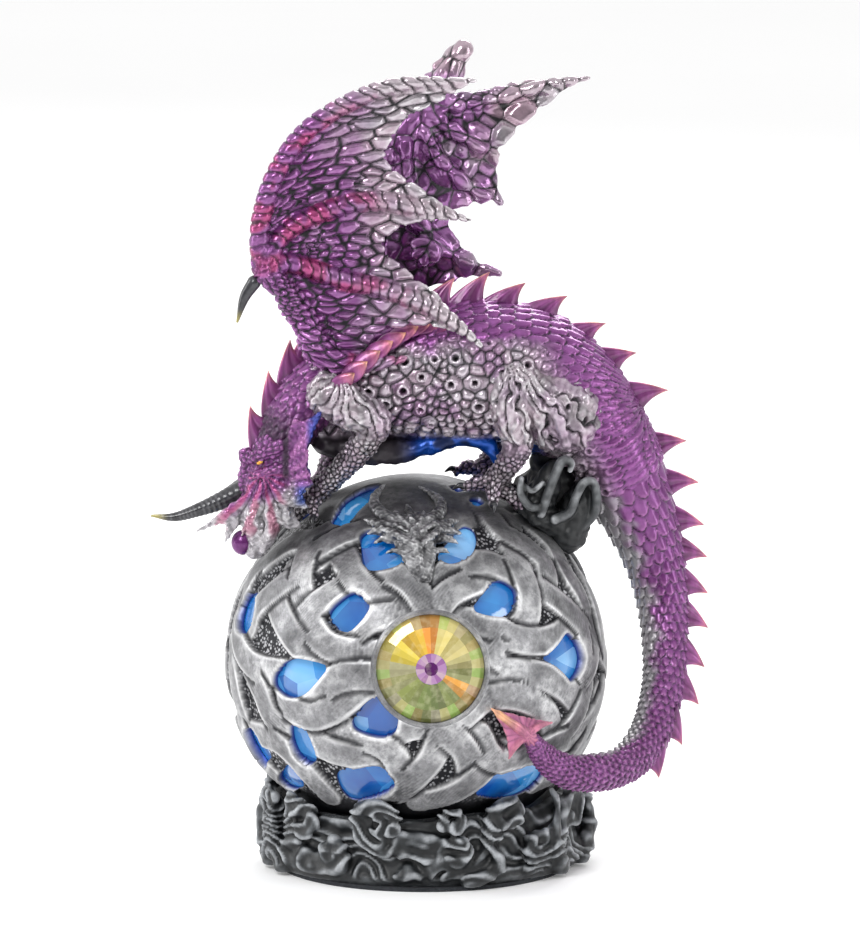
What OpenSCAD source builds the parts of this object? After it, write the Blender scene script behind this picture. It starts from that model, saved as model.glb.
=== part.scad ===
// A cast resin dragon crouching on a light-up orb.
// The origin is the point on the table under the centre of the orb, +Z is up,
// the gem faces -Y and the dragon's head is on the -X side.

/* [Orb] */
// Outside diameter of the woven cage of the orb
orb_d = 97; // [96:0.5:98]
// Height of the orb's centre above the table
orb_z = 52.3; // [52:0.1:53]
// Thickness of the woven cage
cage_wall = 2.35; // [2:0.05:2.4]
// Wall of the blue globe inside the cage
globe_wall = 1.8; // [1.2:0.1:2.5]
// Diameter of the faceted gem
gem_d = 27.2; // [26:0.1:27.4]
// Upward tilt of the gem's axis, in degrees
gem_tilt = 8.5; // [7:0.5:10]

/* [Base] */
// Half width of the rocky plinth along X
plinth_rx = 40; // [39:0.5:41]
// Half width of the rocky plinth along Y
plinth_ry = 37; // [36:0.5:38]
// Number of flame-like curls around the plinth
curl_count = 15; // [9:1:18]
// Diameter of the felt pad under the plinth
felt_d = 74; // [70:1:75]
// Thickness of the felt pad
felt_t = 1; // [0.8:0.1:1]

/* [Light unit] */
// Outside diameter of the light unit's tub
tub_d = 40; // [39.5:0.5:40]
// Diameter of the tub's flange
flange_d = 49.6; // [49:0.2:50]
// Diameter of one button cell
cell_d = 11.6; // [11.6:0.1:11.6]
// Thickness of one button cell
cell_t = 5.4; // [5.3:0.1:5.4]
// Number of button cells
cell_count = 3; // [3:1:3]
// Diameter of the battery door's screw
door_screw_d = 2; // [2:0.1:2.2]
// Travel of the on-off slide switch
switch_travel = 2.5; // [2:0.1:2.5]

/* [Dragon] */
// Facets around the rounded limbs
limb_sides = 12; // [8:1:14]
// Glue gap between neighbouring castings
glue_gap = 0.15; // [0.1:0.05:0.3]

/* [Hidden] */
orb_r = orb_d / 2;
globe_r = orb_r - cage_wall - 0.15;
seat_z = 17;
rim_z = seat_z + 0.2;
gem_r = gem_d / 2;
gem_girdle = orb_r - 2.4;

// Castings: each row is x, y, z and the radius there.
torso_line = [[-17, 0, 125, 13], [-8, 0, 126, 14.5], [4, 0, 126.5, 16.5], [16, 0, 127, 18],
    [29, 0, 125.5, 17], [39, 0, 119, 15], [46, 1, 111, 13], [51, 2, 103, 12]];
neck_line = [[-19, -1, 126, 10.5], [-25, -2.5, 123, 8.5], [-30, -4.5, 118, 7.5],
    [-34, -6.5, 112, 6.6]];
head_line = [[-35, -7.5, 109, 6.6], [-37.5, -8.5, 100, 6.4], [-38.3, -9, 91, 5.6],
    [-41, -9.5, 85, 4]];
frill_left = [[-31, -13, 110, 2], [-26, -17, 120, 0.8], [-28.5, -17, 105, 0.8],
    [-28.5, -16, 95.5, 0.8], [-35, -13, 98, 2.4]];
frill_right = [[-40, -7, 97, 3], [-56, -7, 88, 0.6], [-49.5, -8, 85, 0.6],
    [-42, -8, 90, 3]];
horn_right_line = [[-43, -5, 98.5, 2.8], [-49, -4.5, 95.5, 2.2], [-55, -4, 93, 1.7],
    [-61.5, -3.5, 91, 1.1], [-67.3, -3, 91.3, 0.4]];
horn_left_line = [[-41, 1, 99.5, 2.6], [-48, 6, 94, 2.1], [-54, 7.5, 91.2, 1.6],
    [-60.6, 8, 89, 1], [-64.5, 8.5, 89, 0.4]];
foreleg_line = [[-22.5, -12.5, 123.5, 6], [-17, -14.5, 120, 5.4], [-11.8, -15.5, 116.5, 4.4],
    [-15, -13.5, 110, 3.5], [-20, -10.5, 103.5, 3], [-25.5, -5, 97, 2.9]];
foreleg_toes = [[-31, -7, 90.9, 1.3], [-27, -12.5, 92.4, 1.3], [-31.5, 0, 91.1, 1.3]];
far_foreleg_line = [[-19, 11, 122, 6], [-14, 14.5, 114, 4.6], [-17, 14.5, 108, 3.6],
    [-20.5, 13, 102, 3], [-22, 11.5, 98.5, 2.8]];
far_foreleg_toes = [[-28, 12.5, 91.9, 1.3], [-23, 18, 92.7, 1.3], [-29.5, 6.5, 92.2, 1.3]];
hindleg_line = [[36, -10, 117.5, 10.5], [29, -13.5, 122, 8], [22.5, -15.5, 127, 4.6],
    [22.8, -16, 119, 4.8], [24.5, -15.5, 111, 4], [22, -13.5, 104.5, 3.1],
    [18.5, -10, 99.8, 2.9]];
hindleg_toes = [[11.5, -12, 99.6, 1.3], [18.5, -16.5, 95.9, 1.3], [26, -11, 93.7, 1.3]];
heel_spur = [[23, -14.5, 105, 2], [27.5, -16, 107.5, 0.4]];
tail_line = [[53, 3, 98, 11.2], [58.5, 4, 85.5, 8.8], [62, 4, 74, 7.2], [63.6, 2, 62, 6],
    [63.4, -3, 50, 5.3], [61.5, -8, 41.6, 5], [58.2, -14, 34.5, 4.9],
    [53.7, -20.5, 30.5, 4.6], [49.2, -26, 29, 4.4], [43.1, -31.5, 29, 4.5],
    [36.4, -36, 30.1, 4.1], [31.6, -39, 32.8, 3.5], [28.1, -41, 36.5, 2.7],
    [26, -42.6, 39.7, 1.8]];
barb_points = [[15.3, -47.4, 49, 0.5], [19.5, -45.9, 45.5, 1], [31.4, -38.2, 43.4, 0.5],
    [20.1, -42.7, 35.2, 0.5], [25, -43.6, 41, 1.7]];

// Spikes: x, y, z of the line they stand on, its radius, the angle of the spike from +X
// in the plane of the body, and its height.
neck_spikes = [[-23.5, -1.5, 124, 9.3, 120, 5], [-26, -2.5, 122.5, 8.3, 132, 5.2],
    [-30.5, -4.5, 117, 7.4, 142, 5.2], [-34.5, -6.5, 110.5, 6.6, 152, 4.6]];
torso_spikes = [[-2, 0, 126.5, 16, 92, 7], [5, 0, 127, 16.8, 88, 7.5],
    [12, 0, 127, 17.6, 84, 7.5], [19, 0, 127, 17.8, 78, 6], [27, 0, 126, 17.2, 70, 6],
    [34, 0, 122, 16, 60, 6], [40, 0, 118, 14.8, 50, 6], [46, 1, 111, 13, 40, 7]];
tail_spikes = [[52.5, 3, 100, 11.3, 34, 6.2], [56, 4, 92, 10, 26, 6.4], [59, 4, 84, 8.7, 18, 6],
    [61, 4, 77, 7.6, 14, 5.6], [63, 3, 69.5, 6.7, 8, 5], [63.6, 2, 62, 6, 2, 4.8],
    [63.5, -2, 53.5, 5.4, -3, 4.8], [62.6, -5.5, 46, 5.1, -12, 4.6],
    [60.2, -11, 38, 4.95, -24, 4.2], [56.2, -17, 32, 4.7, -40, 3.8]];

// Wings: each finger is a row of x, y, z and the radius there. A membrane joins each
// finger to the next one in the list.
left_fingers = [
    [[-40, -16.5, 156, 2.2], [-40.5, -17.5, 168, 1.9], [-36, -18, 182, 1.8],
        [-26.5, -17, 193.5, 1.6], [-8, -14.5, 202, 1.3], [14, -12, 203, 0.8]],
    [[-40, -16.5, 156, 2.2], [-34.5, -15, 165, 1.6], [-25, -13.5, 170, 1.6],
        [-12.5, -12, 172.5, 1.5], [0, -10.5, 170.5, 1.3], [13, -9, 167, 0.8]],
    [[-40, -16.5, 156, 2.2], [-33, -15, 157.5, 1.6], [-20, -13.5, 153, 1.6],
        [-6, -14.5, 149.5, 1.5], [6, -16.5, 144, 1.3], [15.5, -18, 136, 0.8]],
    [[-40, -16.5, 156, 2.2], [-33, -15, 149, 2.8], [-29, -14, 142, 3],
        [-24.5, -12.5, 134, 3.4], [-16, -13.5, 131, 2], [-4, -16, 133, 1]]];
right_fingers = [
    [[2, 14, 193, 2.4], [14, 14.5, 193.8, 2.1], [30, 14.8, 196.8, 1.9], [45.5, 14, 199.6, 0.6]],
    [[2, 14, 193, 2.4], [8, 12, 188, 1.8], [14, 12, 184.5, 1.6], [21.5, 12.5, 180.5, 0.9]],
    [[2, 14, 193, 2.4], [6, 11, 181, 1.8], [14, 11.5, 173, 1.6], [22.6, 13, 168, 0.8]],
    [[2, 14, 193, 2.4], [-2, 12, 176, 2.4], [6, 11, 158, 1.8], [22.3, 12, 149.8, 0.7]],
    [[2, 14, 193, 2.4], [-8, 13, 176, 2.6], [-10, 12, 152, 3], [-9, 11, 135, 3.6]]];
right_spur = [[2, 14, 193, 3.6], [6, 14, 199.5, 3.8], [10.5, 13.8, 205, 2.8],
    [14, 13.5, 209, 1.6]];
claw_line = [[-42, -16.5, 153, 1.8], [-44.5, -16.5, 149, 1.3], [-46.3, -16.5, 143, 0.4]];

// Windows through the cage: longitude from the front towards +X, latitude, width, height
// and turn, in degrees and millimetres.
windows = [[-31, 68, 7, 13, -62], [-13, 43, 9, 10, 10], [17, 44, 9, 10, -10],
    [28, 53, 5, 6, 0], [54, 55, 6, 5, 0], [-23, 19, 9, 10, -20], [25, 24, 11, 8, -10],
    [52, 2, 7, 13, 10], [-42, 0, 13, 9, -5], [-16, -9, 12, 8, 15], [-49, -20, 6, 12, 15],
    [-21, -32, 15, 11, -12], [-66, -37, 8, 10, 20], [41, -36, 16, 12, 8],
    [75, 25, 8, 11, 0], [80, -18, 9, 11, 15], [104, 38, 8, 10, 0], [110, -5, 9, 11, 0],
    [128, -30, 10, 9, 0], [135, 15, 9, 11, 20], [150, 45, 8, 10, 0], [160, -10, 10, 9, 0],
    [180, 22, 9, 11, 0], [185, -33, 10, 9, 0], [200, 52, 8, 9, 0], [208, 2, 9, 11, 10],
    [232, 30, 9, 10, 0], [236, -24, 9, 10, 0], [258, 6, 9, 10, 0], [262, 42, 8, 9, 0]];

// Light unit
plate_z = 3.2;
tub_in_r = 17.6;
tub_top = 20.3;
lens_z = 19;
pocket_y = 9;
cell_z = 8.9;
stack_x = -7.3;
pocket = [19.5, 12.2];
door = [26.5, 14.4, 1.1];
door_x = 1.2;
door_z = 1.05;
door_gap = 0.2;
screw_x = 12.1;
board_z = 15.2;
board_t = 1.2;
boss_spots = [[-14.6, -5.3], [14.6, -5.3], [0, -15.6]];
flange_r = flange_d / 2;
flange_screw_r = 22.3;
switch_y = -9;
knob = [3, 2.2];
knob_flange = [4.6, 3.6, 0.8];
run_gap = 0.05;

// A chain of rounded, tapering lengths through the rows of a list.
module chain(line, g = 0, sides = limb_sides) {
    for (i = [0 : len(line) - 2])
        hull() {
            translate([line[i][0], line[i][1], line[i][2]]) sphere(line[i][3] + g, $fn = sides);
            translate([line[i + 1][0], line[i + 1][1], line[i + 1][2]])
                sphere(line[i + 1][3] + g, $fn = sides);
        }
}

// One rounded blob around every row of a list.
module blob(rows, g = 0, sides = 8) {
    hull()
        for (p = rows)
            translate([p[0], p[1], p[2]]) sphere(p[3] + g, $fn = sides);
}

// A pointed spike that stands on the line of the body.
module spike(s) {
    outward = [cos(s[4]), 0, sin(s[4])];
    along = [-sin(s[4]), 0, cos(s[4])];
    foot = [s[0], s[1], s[2]] + outward * (s[3] - 1);
    hull() {
        translate(foot + along * 2.6) sphere(1.1, $fn = 6);
        translate(foot - along * 2.6) sphere(1.1, $fn = 6);
        translate([s[0], s[1], s[2]] + outward * (s[3] + s[5])) sphere(0.35, $fn = 6);
    }
}

module orb_ball(r, sides = 60) {
    translate([0, 0, orb_z]) sphere(r, $fn = sides);
}

// Moves children so that +Z leaves the orb at a longitude and latitude.
module on_orb(lon, lat, distance) {
    translate([0, 0, orb_z])
        rotate([0, 0, lon])
            rotate([90 - lat, 0, 0])
                translate([0, 0, distance]) children();
}

module on_gem_axis() {
    on_orb(0, gem_tilt, 0) children();
}

module torso_mass(g = 0) {
    chain(torso_line, g);
}

module neck_mass(g = 0) {
    chain(neck_line, g);
}

module head_mass(g = 0) {
    chain(head_line, g);
    blob([frill_left[0], frill_left[1], frill_left[2]], g);
    blob([frill_left[0], frill_left[2], frill_left[4]], g);
    blob([frill_left[2], frill_left[3], frill_left[4]], g);
    blob(frill_right, g);
}

module foreleg_mass(line, toes, g = 0) {
    chain(line, g);
    for (t = toes) blob([line[len(line) - 1], t], g);
}

module hindleg_mass(g = 0) {
    chain(hindleg_line, g);
    for (t = hindleg_toes) blob([hindleg_line[6], t], g);
    blob(heel_spur, g);
}

module wing_mass(fingers, g = 0) {
    for (f = fingers) chain(f, g, 8);
    for (k = [0 : len(fingers) - 2])
        for (i = [0 : len(fingers[k]) - 2])
            blob([thin(fingers[k][i]), thin(fingers[k][i + 1]), thin(fingers[k + 1][i]),
                thin(fingers[k + 1][i + 1])], g, 6);
}

function thin(p) = [p[0], p[1], p[2], 0.9];

module felt_pad() {
    color("darkslategray")
        difference() {
            translate([2, 0, 0]) cylinder(r = felt_d / 2, h = felt_t, $fn = 96);
            translate([door_x - door[0] / 2 - 0.5, pocket_y - door[1] / 2 - 0.5, -1])
                cube([door[0] + 1, door[1] + 1, felt_t + 2]);
            translate([-4.5, switch_y - 2.5, -1]) cube([9, 5, felt_t + 2]);
        }
}

// The rocky mass of the plinth with its flame-like curls, hollowed for the orb
// and bored for the light unit.
module base_plinth() {
    color("dimgray")
        difference() {
            union() {
                translate([2.5, 0.5, felt_t])
                    scale([plinth_rx / 40, plinth_ry / 40, 1])
                        rotate_extrude($fn = 48)
                            polygon([[0, 0], [39, 0], [40.4, 4], [39.6, 11], [40.6, 18],
                                [40.5, 22], [0, 22]]);
                for (i = [0 : curl_count - 1]) curl(i * 360 / curl_count, 22 + 4 * sin(i * 137));
            }
            orb_ball(orb_r + 0.4, 48);
            translate([0, 0, -1]) cylinder(r = tub_d / 2 + 0.3, h = seat_z + 3, $fn = 48);
            translate([0, 0, seat_z]) cylinder(r = 33.5, h = 12, $fn = 48);
            translate([0, 0, 0]) cylinder(r = flange_r + 0.3, h = plate_z + 0.1, $fn = 48);
            for (a = [30, 150, 270])
                rotate([0, 0, a]) translate([flange_screw_r, 0, 0])
                    cylinder(r = 1.15, h = 10, $fn = 16);
            translate([0, 0, felt_t - 10]) cylinder(r = 70, h = 10, $fn = 24);
        }
}

module curl(a, top) {
    ring = [[a, 0.97, 5, 4.4], [a + 9, 0.99, 11, 4], [a + 16, 1, 16, 3.4],
        [a + 13, 1.02, top - 2, 2.4], [a + 5, 1.02, top, 1.4]];
    line = [for (p = ring)
        [2.5 + plinth_rx * p[1] * sin(p[0]), 0.5 - plinth_ry * p[1] * cos(p[0]), p[2], p[3]]];
    chain(line, 0, 8);
}

module orb_globe() {
    color("dodgerblue", 0.6)
        difference() {
            orb_ball(globe_r);
            orb_ball(globe_r - globe_wall);
            translate([-60, -60, -40]) cube([120, 120, 40 + rim_z]);
        }
}

module orb_cage() {
    color("silver")
        difference() {
            orb_ball(orb_r);
            orb_ball(orb_r - cage_wall);
            translate([-60, -60, -40]) cube([120, 120, 40 + rim_z]);
            on_gem_axis() cylinder(r = gem_r + 1.45, h = orb_r + 5);
            for (w = windows)
                on_orb(w[0], w[1], orb_r - 7) rotate([0, 0, w[4]]) window_cutter(w[2], w[3]);
        }
}

module window_cutter(w, h) {
    linear_extrude(height = 12)
        polygon([[-w / 2, -h / 4], [-w / 5, -h / 2], [w / 2, -h / 3], [w / 2.4, h / 4],
            [w / 8, h / 2], [-w / 2.6, h / 3]]);
}

module gem_bezel() {
    color("gainsboro")
        on_gem_axis()
            rotate_extrude($fn = 96)
                polygon([[gem_r - 1.1, gem_girdle - 1.2], [gem_r - 1.1, gem_girdle - 0.1],
                    [gem_r + 0.1, gem_girdle - 0.1], [gem_r + 0.1, gem_girdle + 1.9],
                    [gem_r + 0.8, gem_girdle + 2.4], [gem_r + 1.35, gem_girdle + 1.9],
                    [gem_r + 1.35, gem_girdle - 2.1], [gem_r + 0.3, gem_girdle - 2.1]]);
}

module crystal_gem() {
    color("gold")
        on_gem_axis()
            translate([0, 0, gem_girdle])
                hull() {
                    cylinder(r = gem_r, h = 1.2, $fn = 24);
                    cylinder(r = 2.4, h = 4.3, $fn = 12);
                }
}

module dragon_emblem() {
    color("gray")
        difference() {
            union() {
                emblem_blob([[36, -2, 4.5], [48, -2, 6.5]], 1.2);
                emblem_blob([[48, -2, 6.5], [58, -2, 8.5]], 1.2);
                emblem_blob([[35, -4, 2], [40, 0, 3]], 1.4);
                for (s = [-1, 1]) {
                    emblem_blob([[55, -2 + s * 8, 4], [62, -2 + s * 17, 2.6]], 1);
                    emblem_blob([[62, -2 + s * 17, 2.6], [73, -2 + s * 24, 1]], 0.8);
                    emblem_blob([[52, -2 + s * 8, 4], [55, -2 + s * 20, 1]], 0.6);
                    emblem_blob([[46, -2 + s * 6, 3], [47, -2 + s * 15, 1]], 0.6);
                }
            }
            orb_ball(orb_r + 0.15, 48);
        }
}

// A blob on the orb through rows of latitude, longitude and radius.
module emblem_blob(rows, rise) {
    hull()
        for (p = rows)
            on_orb(p[1], p[0], orb_r - p[2] * 0.55 + rise) sphere(p[2], $fn = 10);
}

module rock_perch() {
    color("dimgray")
        difference() {
            union() {
                chain([[29, -14, 94, 3], [33, -13, 99, 2.6], [36, -12, 105, 2],
                    [33, -12, 107.5, 1.6], [31.5, -13, 104.5, 1.2]]);
                chain([[36, -12, 90, 3.4], [40, -10, 95, 2.6], [41, -9, 99.5, 1.8],
                    [38, -10, 100.5, 1.2]]);
                chain([[34, 0, 92, 8], [35, 0, 98, 7], [34, 2, 104, 5]]);
                chain([[30, 12, 95, 5], [34, 12, 100, 3.4], [36, 12, 105, 2]]);
                chain([[39, 0, 88, 6], [42, 2, 94, 4]]);
                chain([[30, -15, 91, 3.4], [37, -9, 88.5, 4.4], [39, 0, 87, 5],
                    [37, 8, 88.5, 4.4], [31, 14, 92, 4]]);
            }
            orb_ball(orb_r + 0.15, 48);
            torso_mass(glue_gap);
            hindleg_mass(glue_gap);
            mirror([0, 1, 0]) hindleg_mass(glue_gap);
            chain(tail_line, glue_gap);
        }
}

module dragon_torso() {
    color("mediumorchid")
        union() {
            torso_mass();
            for (s = torso_spikes) spike(s);
        }
}

module dragon_neck() {
    color("purple")
        difference() {
            union() {
                neck_mass();
                for (s = neck_spikes) spike(s);
            }
            torso_mass(glue_gap);
        }
}

module dragon_head() {
    color("orchid")
        difference() {
            union() {
                head_mass();
                translate([-44.7, -9.5, 85]) sphere(2.9, $fn = 12);
            }
            neck_mass(glue_gap);
            torso_mass(glue_gap);
            orb_ball(orb_r + 0.15, 48);
        }
}

module horn_left() {
    color("black")
        difference() {
            chain(horn_left_line);
            head_mass(glue_gap);
            neck_mass(glue_gap);
        }
}

module horn_right() {
    color("black")
        difference() {
            chain(horn_right_line);
            head_mass(glue_gap);
            neck_mass(glue_gap);
        }
}

module foreleg_left() {
    color("lightgray")
        difference() {
            foreleg_mass(foreleg_line, foreleg_toes);
            torso_mass(glue_gap);
            neck_mass(glue_gap);
            head_mass(glue_gap);
            orb_ball(orb_r + 0.15, 48);
        }
}

module foreleg_right() {
    color("gray")
        difference() {
            foreleg_mass(far_foreleg_line, far_foreleg_toes);
            torso_mass(glue_gap);
            neck_mass(glue_gap);
            orb_ball(orb_r + 0.15, 48);
        }
}

module hindleg_left() {
    color("lightgray")
        difference() {
            hindleg_mass();
            torso_mass(glue_gap);
            orb_ball(orb_r + 0.15, 48);
        }
}

module hindleg_right() {
    color("gray")
        difference() {
            mirror([0, 1, 0]) hindleg_mass();
            torso_mass(glue_gap);
            orb_ball(orb_r + 0.15, 48);
        }
}

module wing_left() {
    color("plum")
        difference() {
            wing_mass(left_fingers);
            torso_mass(glue_gap);
            neck_mass(glue_gap);
            foreleg_mass(foreleg_line, foreleg_toes, glue_gap);
            chain(claw_line, glue_gap, 8);
            for (s = neck_spikes) spike(s);
            for (s = torso_spikes) spike(s);
        }
}

module wing_right() {
    color("mediumpurple")
        difference() {
            union() {
                wing_mass(right_fingers);
                chain(right_spur, 0, 8);
            }
            torso_mass(glue_gap);
            neck_mass(glue_gap);
            foreleg_mass(far_foreleg_line, far_foreleg_toes, glue_gap);
            for (s = torso_spikes) spike(s);
        }
}

module wing_claw() {
    color("black") union() chain(claw_line, 0, 8);
}

module tail() {
    color("darkorchid")
        difference() {
            union() {
                chain(tail_line);
                for (s = tail_spikes) spike(s);
            }
            torso_mass(glue_gap);
            for (s = torso_spikes) spike(s);
            orb_ball(orb_r + 0.15, 48);
        }
}

module tail_tip() {
    color("hotpink")
        difference() {
            union() {
                blob([barb_points[0], barb_points[1], barb_points[4]]);
                blob([barb_points[2], barb_points[1], barb_points[4]]);
                blob([barb_points[3], barb_points[1], barb_points[4]]);
            }
            chain(tail_line, glue_gap);
            orb_ball(orb_r + 0.1, 60);
        }
}

// The tub of the light unit: plate, wall, battery pocket and bosses.
module light_tub() {
    color("ivory")
        difference() {
            union() {
                translate([0, 0, felt_t]) cylinder(r = flange_r, h = plate_z - felt_t);
                difference() {
                    translate([0, 0, plate_z - 1]) cylinder(r = tub_d / 2, h = tub_top - plate_z + 1);
                    translate([0, 0, plate_z]) cylinder(r = tub_in_r, h = 30);
                    translate([0, 0, lens_z]) cylinder(r = tub_in_r + 0.9, h = 30);
                }
                intersection() {
                    cylinder(r = tub_in_r + 1, h = 14.6);
                    translate([-pocket[0] / 2 - 1.2, pocket_y - pocket[1] / 2 - 1.2, plate_z - 1])
                        cube([pocket[0] + 2.4, pocket[1] + 2.4, 14.6 - plate_z + 1]);
                }
                for (b = boss_spots)
                    translate([b[0], b[1], plate_z - 1]) cylinder(r = 2, h = board_z - plate_z + 1);
                translate([screw_x, pocket_y, plate_z - 1]) cylinder(r = 2.2, h = 6);
            }
            translate([-pocket[0] / 2, pocket_y - pocket[1] / 2, 0])
                cube([pocket[0], pocket[1], 30]);
            translate([door_x - door[0] / 2 - door_gap, pocket_y - door[1] / 2 - door_gap, 0])
                cube([door[0] + 2 * door_gap, door[1] + 2 * door_gap, 2.25]);
            translate([screw_x, pocket_y, 0]) cylinder(r = door_screw_d / 2 + run_gap, h = 7.5);
            translate([-knob[0] / 2 - switch_travel / 2 - 0.2, switch_y - knob[1] / 2 - 0.2, 0])
                cube([knob[0] + switch_travel + 0.4, knob[1] + 0.4, 5]);
            for (b = boss_spots)
                translate([b[0], b[1], board_z - 6]) cylinder(r = 1.05, h = 7);
            for (a = [30, 150, 270])
                rotate([0, 0, a]) translate([flange_screw_r, 0, 0]) {
                    cylinder(r = 2.05, h = 2.3);
                    cylinder(r = 1.05, h = 8);
                }
        }
}

module tub_screws() {
    color("gray")
        for (a = [30, 150, 270])
            rotate([0, 0, a]) translate([flange_screw_r, 0, 0])
                difference() {
                    union() {
                        translate([0, 0, 1.1]) cylinder(r = 1.9, h = 1.15);
                        translate([0, 0, 2]) cylinder(r = 1, h = 7);
                    }
                    translate([-1.2, -0.2, 0]) cube([2.4, 0.4, 1.6]);
                    translate([-0.2, -1.2, 0]) cube([0.4, 2.4, 1.6]);
                }
}

module circuit_board() {
    color("green")
        difference() {
            translate([0, 0, board_z]) cylinder(r = tub_in_r - 0.2, h = board_t);
            for (b = boss_spots)
                translate([b[0], b[1], board_z - 1]) cylinder(r = 1.15, h = board_t + 2);
        }
}

module board_screws() {
    color("silver")
        for (b = boss_spots)
            translate([b[0], b[1], board_z + board_t])
                difference() {
                    union() {
                        cylinder(r = 1.8, h = 1.2);
                        translate([0, 0, -6]) cylinder(r = 1, h = 6.5);
                    }
                    translate([-1.1, -0.2, 0.8]) cube([2.2, 0.4, 1]);
                    translate([-0.2, -1.1, 0.8]) cube([0.4, 2.2, 1]);
                }
}

module led() {
    color("white")
        translate([0, 0, board_z + board_t])
            union() {
                cylinder(r = 2.8, h = 1);
                cylinder(r = 2.4, h = 2.6);
                translate([0, 0, 2.6]) sphere(r = 2.4);
            }
}

module light_lens() {
    color("azure", 0.5)
        difference() {
            union() {
                translate([0, 0, lens_z]) cylinder(r = tub_in_r + 0.8, h = 1.2);
                intersection() {
                    translate([0, 0, lens_z - 2]) sphere(r = 8);
                    translate([0, 0, lens_z]) cylinder(r = 9, h = 9);
                }
            }
            translate([0, 0, lens_z - 2]) sphere(r = 6.8);
        }
}

module switch_case() {
    color("silver")
        difference() {
            translate([-5.5, switch_y - 3, plate_z]) cube([11, 6, 5]);
            translate([-(knob_flange[0] + switch_travel) / 2 - 0.3,
                switch_y - knob_flange[1] / 2 - 0.3, plate_z - 1])
                cube([knob_flange[0] + switch_travel + 0.6, knob_flange[1] + 0.6, 3.4]);
        }
}

module switch_knob() {
    color("black")
        translate([-switch_travel / 2, switch_y, 0])
            difference() {
                union() {
                    translate([-knob[0] / 2, -knob[1] / 2, 0.3]) cube([knob[0], knob[1], 4.6]);
                    translate([-knob_flange[0] / 2, -knob_flange[1] / 2, plate_z + 0.3])
                        cube(knob_flange);
                }
                for (x = [-0.9, 0, 0.9])
                    translate([x - 0.15, -2, 0]) cube([0.3, 4, 0.6]);
            }
}

module button_cells() {
    color("lightsteelblue")
        for (i = [0 : cell_count - 1])
            translate([stack_x + i * cell_t, pocket_y, cell_z])
                rotate([0, 90, 0])
                    union() {
                        cylinder(r = cell_d / 2 - 0.05, h = cell_t - 0.9);
                        cylinder(r = cell_d / 2 - 1.6, h = cell_t - 0.02);
                    }
}

module contact_positive() {
    color("gold")
        union() {
            translate([9.25, pocket_y - 4, 5]) cube([0.4, 8, 9]);
            translate([9.25, pocket_y - 1, 13]) cube([0.4, 2, board_z - 13.02]);
            translate([8.95, pocket_y, cell_z]) rotate([0, 90, 0]) cylinder(r = 2, h = 0.5);
        }
}

module contact_negative() {
    color("gold")
        union() {
            translate([-9.65, pocket_y - 4, 5]) cube([0.4, 8, 9]);
            translate([-9.65, pocket_y - 1, 13]) cube([0.4, 2, board_z - 13.02]);
        }
}

// The coils of the spring, pressed almost flat by the cells.
module battery_spring() {
    color("silver")
        translate([-8.87, pocket_y, cell_z])
            rotate([0, 90, 0])
                union()
                    for (i = [0 : 2])
                        translate([0, 0, i * 0.58])
                            rotate_extrude($fn = 40)
                                translate([3.6 - i * 0.25, 0]) circle(r = 0.35, $fn = 16);
}

module battery_door() {
    color("ivory")
        difference() {
            union() {
                translate([door_x - door[0] / 2, pocket_y - door[1] / 2, door_z]) cube(door);
                for (s = [-1, 1])
                    translate([-4, pocket_y + s * 4.6 - 0.6, door_z + door[2] - 0.2])
                        cube([8, 1.2, 0.6]);
            }
            translate([screw_x, pocket_y, 0]) cylinder(r = door_screw_d / 2 + run_gap, h = 5);
            translate([screw_x, pocket_y, 0]) cylinder(r = 1.65, h = door_z + 0.7);
            for (i = [0 : 4])
                translate([-9 + i * 1.4, pocket_y - 3, 0]) cube([0.6, 6, door_z + 0.3]);
        }
}

module door_screw() {
    color("gray")
        difference() {
            union() {
                translate([screw_x, pocket_y, door_z]) cylinder(r = 1.6, h = 0.65);
                translate([screw_x, pocket_y, door_z + 0.3])
                    cylinder(r = door_screw_d / 2, h = 5.4);
            }
            translate([screw_x - 1.1, pocket_y - 0.2, 0]) cube([2.2, 0.4, door_z + 0.35]);
            translate([screw_x - 0.2, pocket_y - 1.1, 0]) cube([0.4, 2.2, door_z + 0.35]);
        }
}

felt_pad();
base_plinth();
orb_globe();
orb_cage();
gem_bezel();
crystal_gem();
dragon_emblem();
rock_perch();
dragon_torso();
dragon_neck();
dragon_head();
horn_left();
horn_right();
foreleg_left();
foreleg_right();
hindleg_left();
hindleg_right();
wing_left();
wing_right();
wing_claw();
tail();
tail_tip();
light_tub();
tub_screws();
circuit_board();
board_screws();
led();
light_lens();
switch_case();
button_cells();
contact_positive();
contact_negative();
battery_spring();
battery_door();
door_screw();
switch_knob();
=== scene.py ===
"""Looks of the light-up dragon orb figurine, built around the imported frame.

Shapes are made in millimetres in numpy, joined by voxel remeshing, given their relief
(scales, cobbles, straps, flames) by moving points, and stored in metres.
"""
import math

import bpy
import numpy as np
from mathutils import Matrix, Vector, kdtree


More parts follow.
